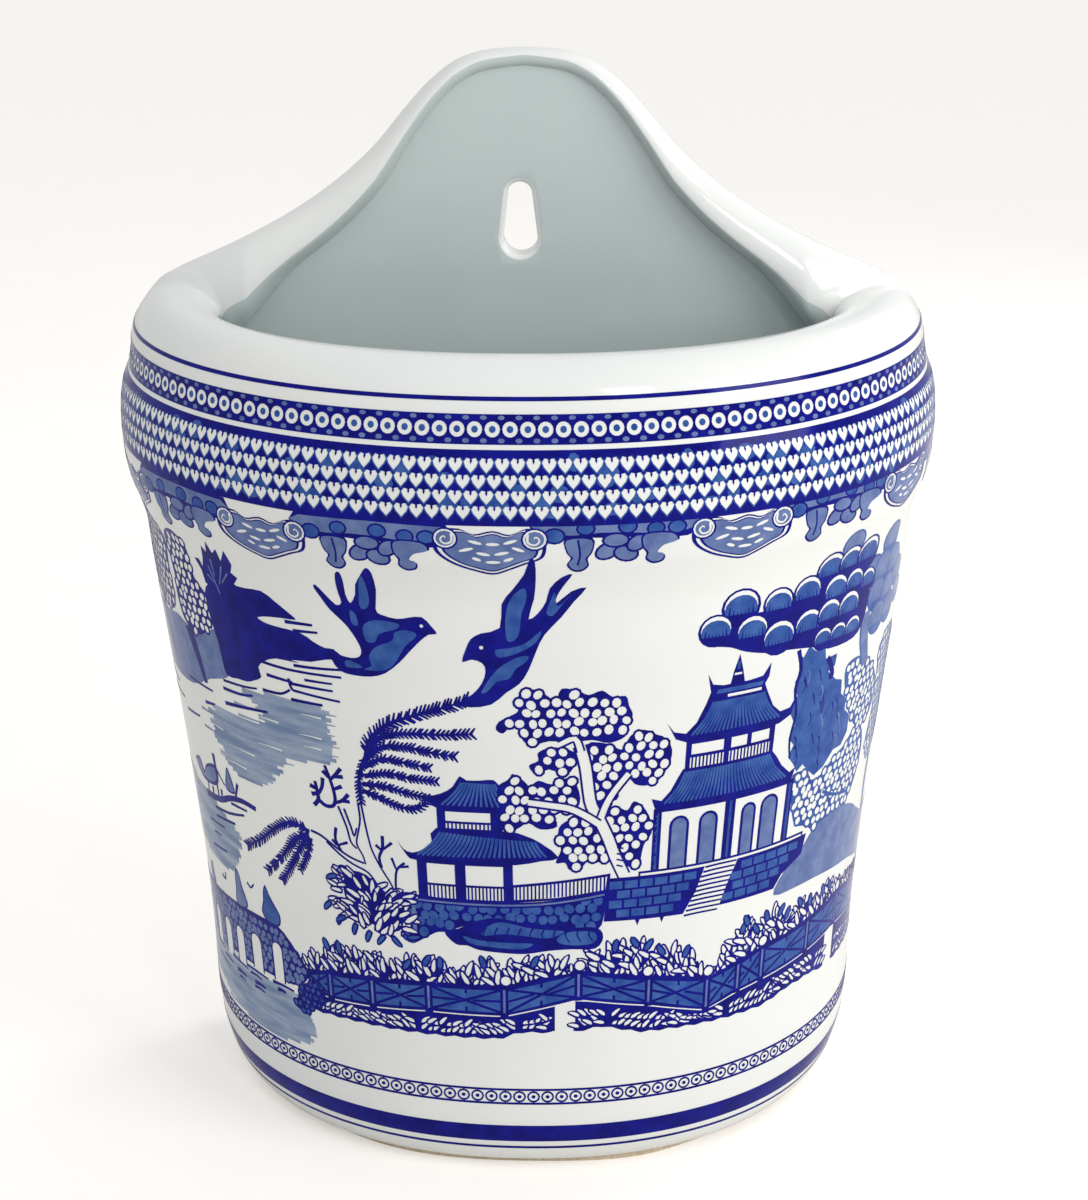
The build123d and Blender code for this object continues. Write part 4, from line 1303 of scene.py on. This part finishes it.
def cloud_lobe(x, z, r, body="mid", edge="dark"):
    oval(edge, x, z, r * 1.12, r * 1.06, sides=16)
    oval("white" if body == "mid" else "pale", x, z + r * 0.06, r * 0.96, r * 0.88, sides=16)
    oval(body, x, z - r * 0.12, r * 0.93, r * 0.8, sides=16)
    for k in range(-3, 4):
        foot = z - r * (0.92 - 0.05 * k * k)
        line(edge, 0.62, [(x + k * r * 0.23, foot), (x + k * r * 0.21,
            foot + r * (0.75 - 0.06 * abs(k)))], tip=0.12, smooth=0)
    under = np.linspace(math.pi * 1.12, math.pi * 1.88, 9)
    blot(edge, [(x + r * 1.04 * math.cos(a), z + r * math.sin(a)) for a in under], 0)


for x, z, r in ((83.6, 163, 3.7), (104, 158.4, 4.4), (96, 152.4, 4.0), (101, 151.4, 4.6),
        (108.5, 151, 4.4), (99, 145.4, 4.3), (106, 144.6, 4.2), (113, 147, 3.8), (101.5, 138.4, 4.3),
        (109, 138.6, 4.0), (116, 141, 3.4)):
    cloud_lobe(x, z, r, "pale", "mid")
for x, z, r in ((77, 158.4, 4.2), (84, 158.6, 3.9), (91.2, 158.8, 4.3), (70.4, 154.2, 4.0),
        (62, 153.2, 3.9), (52, 154.2, 4.5), (93, 151, 3.2), (80, 152.2, 4.0), (87, 152.4, 3.4),
        (46, 149.2, 3.9), (55.4, 147.6, 4.0), (71.6, 145.6, 4.0), (78.4, 146.6, 3.8), (85.8, 146.4, 4.0),
        (63, 144.4, 4.4), (77.2, 140.4, 2.9), (82.8, 140.2, 2.9), (88.6, 140, 3.1)):
    cloud_lobe(x, z, r)

# %% Temple
blot("dark", [(45, 138.2), (46.4, 135.4), (49, 134.8), (56, 134.8), (59.6, 135.2), (61.6, 138.2),
    (61.4, 134.8), (60.4, 133), (61.5, 130.5), (63.5, 126.5), (66, 124.2), (69, 124.5), (70.6, 127.2),
    (69.6, 122.5), (66, 121), (52, 120.6), (41, 121), (38, 122.3), (35.8, 126.6), (37.5, 124.2),
    (40.5, 123.4), (43, 126), (45, 130.5), (46, 133.4)], 0)
blot("mid", [(47.8, 133.9), (60, 133.9), (59.6, 132.8), (47.4, 132.8)], 0)
box("white", 50.4, 131.5, 59.6, 132.3)
blot("dark", [(50.9, 134.8), (51.5, 138), (52.7, 142.2), (53.9, 138), (54.6, 134.8)], 0)
box("white", 51.7, 136.9, 53.7, 137.5)
line("mid", 0.7, [(52.7, 140.4), (52.7, 138.4)], smooth=0)
stripes("mid", 0.66, ((46.6, 130.8), (60.6, 130.8)), ((41.4, 122.8), (66.4, 122.8)), 22, 0.14)
box("dark", 40.8, 112.8, 65.0, 121.4)
for x0, x1 in ((42.2, 50.6), (52.6, 57.0), (58.2, 63.4)):
    box("white", x0, 117.6, x1, 120.4)
box("white", 42.0, 113.6, 50.8, 116.8)
box("white", 52.2, 113.6, 63.8, 116.8)
bars("dark", 42.1, 50.7, (113.4, 113.4), (117, 117), 1.0, 0.42)
bars("dark", 52.3, 63.7, (113.4, 113.4), (117, 117), 1.0, 0.42)
blot("dark", [(32.9, 106.9), (35.4, 106.1), (37.6, 108.6), (39.3, 112), (40.4, 114), (64.8, 114),
    (66.5, 112), (68.5, 109), (71.5, 106.2), (73.4, 107), (72.5, 104), (60, 103.5), (45, 103.5),
    (34, 103.7)], 0)
stripes("mid", 0.66, ((40.8, 113.2), (64.4, 113.2)), ((35.6, 105.2), (71.0, 105.2)), 31, 0.14)
box("dark", 33.6, 86.6, 73.4, 104)
for k in range(26):
    line("mid", 0.4, [(34.3 + hand.uniform(-0.3, 0.6), 87 + k * 0.62), (34.9, 87.3 + k * 0.62)], smooth=0)
    line("mid", 0.4, [(53.8, 87 + k * 0.62), (54.5, 87.3 + k * 0.62)], smooth=0)
    line("mid", 0.4, [(72.0, 87 + k * 0.62), (72.8, 87.3 + k * 0.62)], smooth=0)
box("white", 35.7, 87.2, 52.6, 103.0)
box("white", 55.5, 87.2, 71.2, 103.0)
for x0, x1, top in ((37.8, 43.0, 101.4), (45.6, 50.8, 101.4), (57.4, 61.8, 101.2), (63.2, 68.8, 101.8)):
    arch("dark", x0, x1, 87.2, top)
    arch("pale", x0 + 0.7, x1 - 0.7, 87.2, top - 0.7)
box("dark", 30.5, 84.8, 79.5, 87.2)
box("white", 31.0, 85.9, 79.0, 86.6)

# %% Terrace and steps
blot("dark", [(22.6, 86), (49.6, 85.8), (46, 79), (43, 73.4), (22, 73.9), (22.4, 80)], 0)
blot("dark", [(57, 85.8), (81, 86), (80, 80.6), (73, 77), (70.6, 73.6), (52.8, 73.8), (54, 79)], 0)
for row, z in enumerate((83.0, 80.3, 77.6, 74.9)):
    for k in range(9):
        x = 23.2 + k * 3.9 - (row % 2) * 1.9
        high = 49.2 - (85.4 - z) * 0.55 - 3.0
        if 22.8 < x and x + 3.3 < high + 2.2:
            box("mid", x, z - 0.1, x + 3.3, z + 2.0)
    for k in range(8):
        x = 59 + k * 3.9 - (row % 2) * 1.9 - (83 - z) * 0.4
        if x + 3.3 < 80.4 - (83 - z) * 1.0:
            box("mid", x, z - 0.1, x + 3.3, z + 2.0)
blot("white", [(48.4, 86.4), (58, 86.4), (55, 79), (52.8, 72.2), (43.0, 72.2), (46, 79)], 0)
for k in range(11):
    z = 85.6 - k * 1.28
    shift = (86 - z) * 0.4
    line("dark", 0.55, [(48.6 - shift, z), (52.5 - shift, z + 0.15), (57.6 - shift * 0.9, z)], tip=0.45)
for x in (30, 36.5):
    blot("dark", [(x, 74), (x + 0.8, 72), (x + 1.5, 74)], 0)
press("temple_hill", 2.9, 3.2)


# %% [markdown]
# ## Fence and border plants
# In front a fence with crossed panels runs in zig-zags along the shore, with plants
# above it and a row of plants under it. The plants are single leaves in two rows.

# %% Fence
rail_s = [-60.5, -53, -40, -24, -3.7, 15.8, 34.6, 51.4, 61, 69, 87, 103, 120, 139]
rail_top = [51.0, 52.9, 54.2, 55.4, 55.6, 60.0, 56.6, 53.4, 55.4, 57.4, 58.9, 60.4, 57.6, 55]
rail_low = [46.0, 45.2, 46.0, 47.4, 47.3, 52.0, 48.6, 44.0, 46.8, 47.8, 49.4, 50.8, 48.6, 46]


def fence_top(s):
    return float(np.interp(s, rail_s, rail_top))


def fence_low(s):
    return float(np.interp(s, rail_s, rail_low))


rise_s = [-62, -58, -52, -46, -38, -33, -28, -22, -17, -12, -8, -2, 4, 10, 14, 17, 20, 26, 31, 36, 42, 46,
    50, 53, 56, 60, 63, 67, 72, 76, 80, 83, 88, 92, 95, 100, 106, 139]
rise_to = [3, 5, 9.5, 8, 8, 5.4, 7.6, 8, 5, 6.2, 8.5, 7, 7, 6, 2.6, 2.6, 6.5, 10, 11.5, 9, 10, 7.5, 4, 2,
    4, 10, 12.5, 8, 11, 8, 5, 8.6, 6.4, 4.6, 7.6, 4.6, 4, 4]
bank = [(s, fence_top(s) + 0.72 * float(np.interp(s, rise_s, rise_to)) + 0.7 * (-1) ** k) for k,
    s in enumerate(np.arange(-60.5, 138, 1.7))]
blot("dark", [(139, 55)] + [(s, fence_top(s) - 0.5) for s in (120, 103, 87, 69, 61, 51.4, 34.6, 15.8,
    -3.7, -24, -40, -53, -60.5)] + bank, 0)
for s in np.arange(-61, 138, 1.6):
    height = float(np.interp(s, rise_s, rise_to))
    rows_up = max(int(height / 2.6), 1)
    for k in range(rows_up, -1, -1):
        foot = fence_top(s) + 0.2 + k * (height - 3.2) / (rows_up + 0.5)
        if k < rows_up + 1 and foot < fence_top(s) + height - 1.6:
            lean = 90 + hand.uniform(-62, 62)
            leaf(s + hand.uniform(-0.5, 0.5), foot, min(hand.uniform(3.8, 5.4), height), lean, 0.26,
                "white", hand.uniform(-0.35, 0.35))
for s in (-52.5, -49, -30.6, -25, -20.5, -8.5, 3.5, 25, 31.4, 33, 38.6, 44, 61, 63.4, 67, 70, 73.6, 76.5,
        83.4, 87, 94, 98):
    top = fence_top(s) + float(np.interp(s, rise_s, rise_to))
    leaf(s, top - 3.0, 4.0, 90 + hand.uniform(-35, 35), 0.3, "mid")
for low_s, high_s in zip(rail_s[:-1], rail_s[1:]):
    at, bt, al, bl = fence_top(low_s), fence_top(high_s), fence_low(low_s), fence_low(high_s)
    blot("dark", [(low_s, al), (high_s, bl), (high_s, bt), (low_s, at)], 0)
    blot("mid", [(low_s + 0.8, al + 0.9), (high_s - 0.8, bl + 0.9), (high_s - 0.8, bt - 1.0),
        (low_s + 0.8, at - 1.0)], 0)
    middle, mt, ml = (low_s + high_s) / 2, (at + bt) / 2, (al + bl) / 2
    line("dark", 0.75, [(low_s, at - 0.6), (high_s, bl + 0.6)], smooth=0)
    line("dark", 0.75, [(low_s, al + 0.6), (high_s, bt - 0.6)], smooth=0)
    line("dark", 0.7, [(low_s + 1, (at + al) / 2), (middle - 1.8, (mt + ml) / 2)], smooth=0)
    line("dark", 0.7, [(middle + 1.8, (mt + ml) / 2), (high_s - 1, (bt + bl) / 2)], smooth=0)
    line("dark", 0.7, [(middle, mt), (middle, mt - 2.2)], smooth=0)
    line("dark", 0.7, [(middle, ml), (middle, ml + 2.2)], smooth=0)
for s in rail_s[1:-1]:
    box("dark", s - 1.1, fence_low(s) - 0.4, s + 1.1, fence_top(s) + 0.3)
    box("pale", s - 0.3, fence_low(s) + 0.8, s + 0.3, fence_top(s) - 0.8)
for s in (-3.2, 16.1, 34.3, 51.6, 68.9, 103):
    oval("dark", s, fence_top(s) + 1.7, 1.75, sides=12)
    oval("white", s, fence_top(s) + 1.7, 1.3, sides=12)

# %% Plants under the fence
ground_s = [-65, -58, -45, -25, -5, 0, 9, 15, 22, 33, 45, 52, 58, 70, 80, 90, 97, 106, 139]
ground_z = [40, 40.4, 40.8, 40.9, 41, 43, 43, 43, 44.2, 41.4, 40.9, 40.6, 40.4, 40.2, 42, 42, 40.6, 40, 39]
for start, end in ((-62, 9.6), (15, 97.6), (103.4, 138)):
    spots_s = np.linspace(start, end, 24)
    blot("dark", [(s, float(np.interp(s, ground_s, ground_z)))
        for s in spots_s] + [(s, fence_low(s) - 0.4) for s in spots_s[::-1]], 0)
for s in np.arange(-62, 138, 1.7):
    if 9 < s < 15.5 or 97 < s < 104:
        continue
    ground, high = float(np.interp(s, ground_s, ground_z)), fence_low(s) - 0.3
    for foot in (ground + 0.5, (ground + high) / 2 - 0.6):
        if foot < high - 1.5:
            way = 1 if int(s * 7) % 2 else -1
            leaf(s, foot, min(3.4, high - foot + 0.6), 90 + way * hand.uniform(20, 60), 0.3, "white",
                way * 0.35)
for start, end in ((-64, 10), (14.6, 98), (103, 138)):
    spots_s = np.arange(start, end, 2.6)
    line("dark", 0.8, [(s, float(np.interp(s, ground_s, ground_z)) + 0.25 * (-1) ** k) for k,
        s in enumerate(spots_s)], smooth=2)
press("fence_shore", 2.9, 3.0)
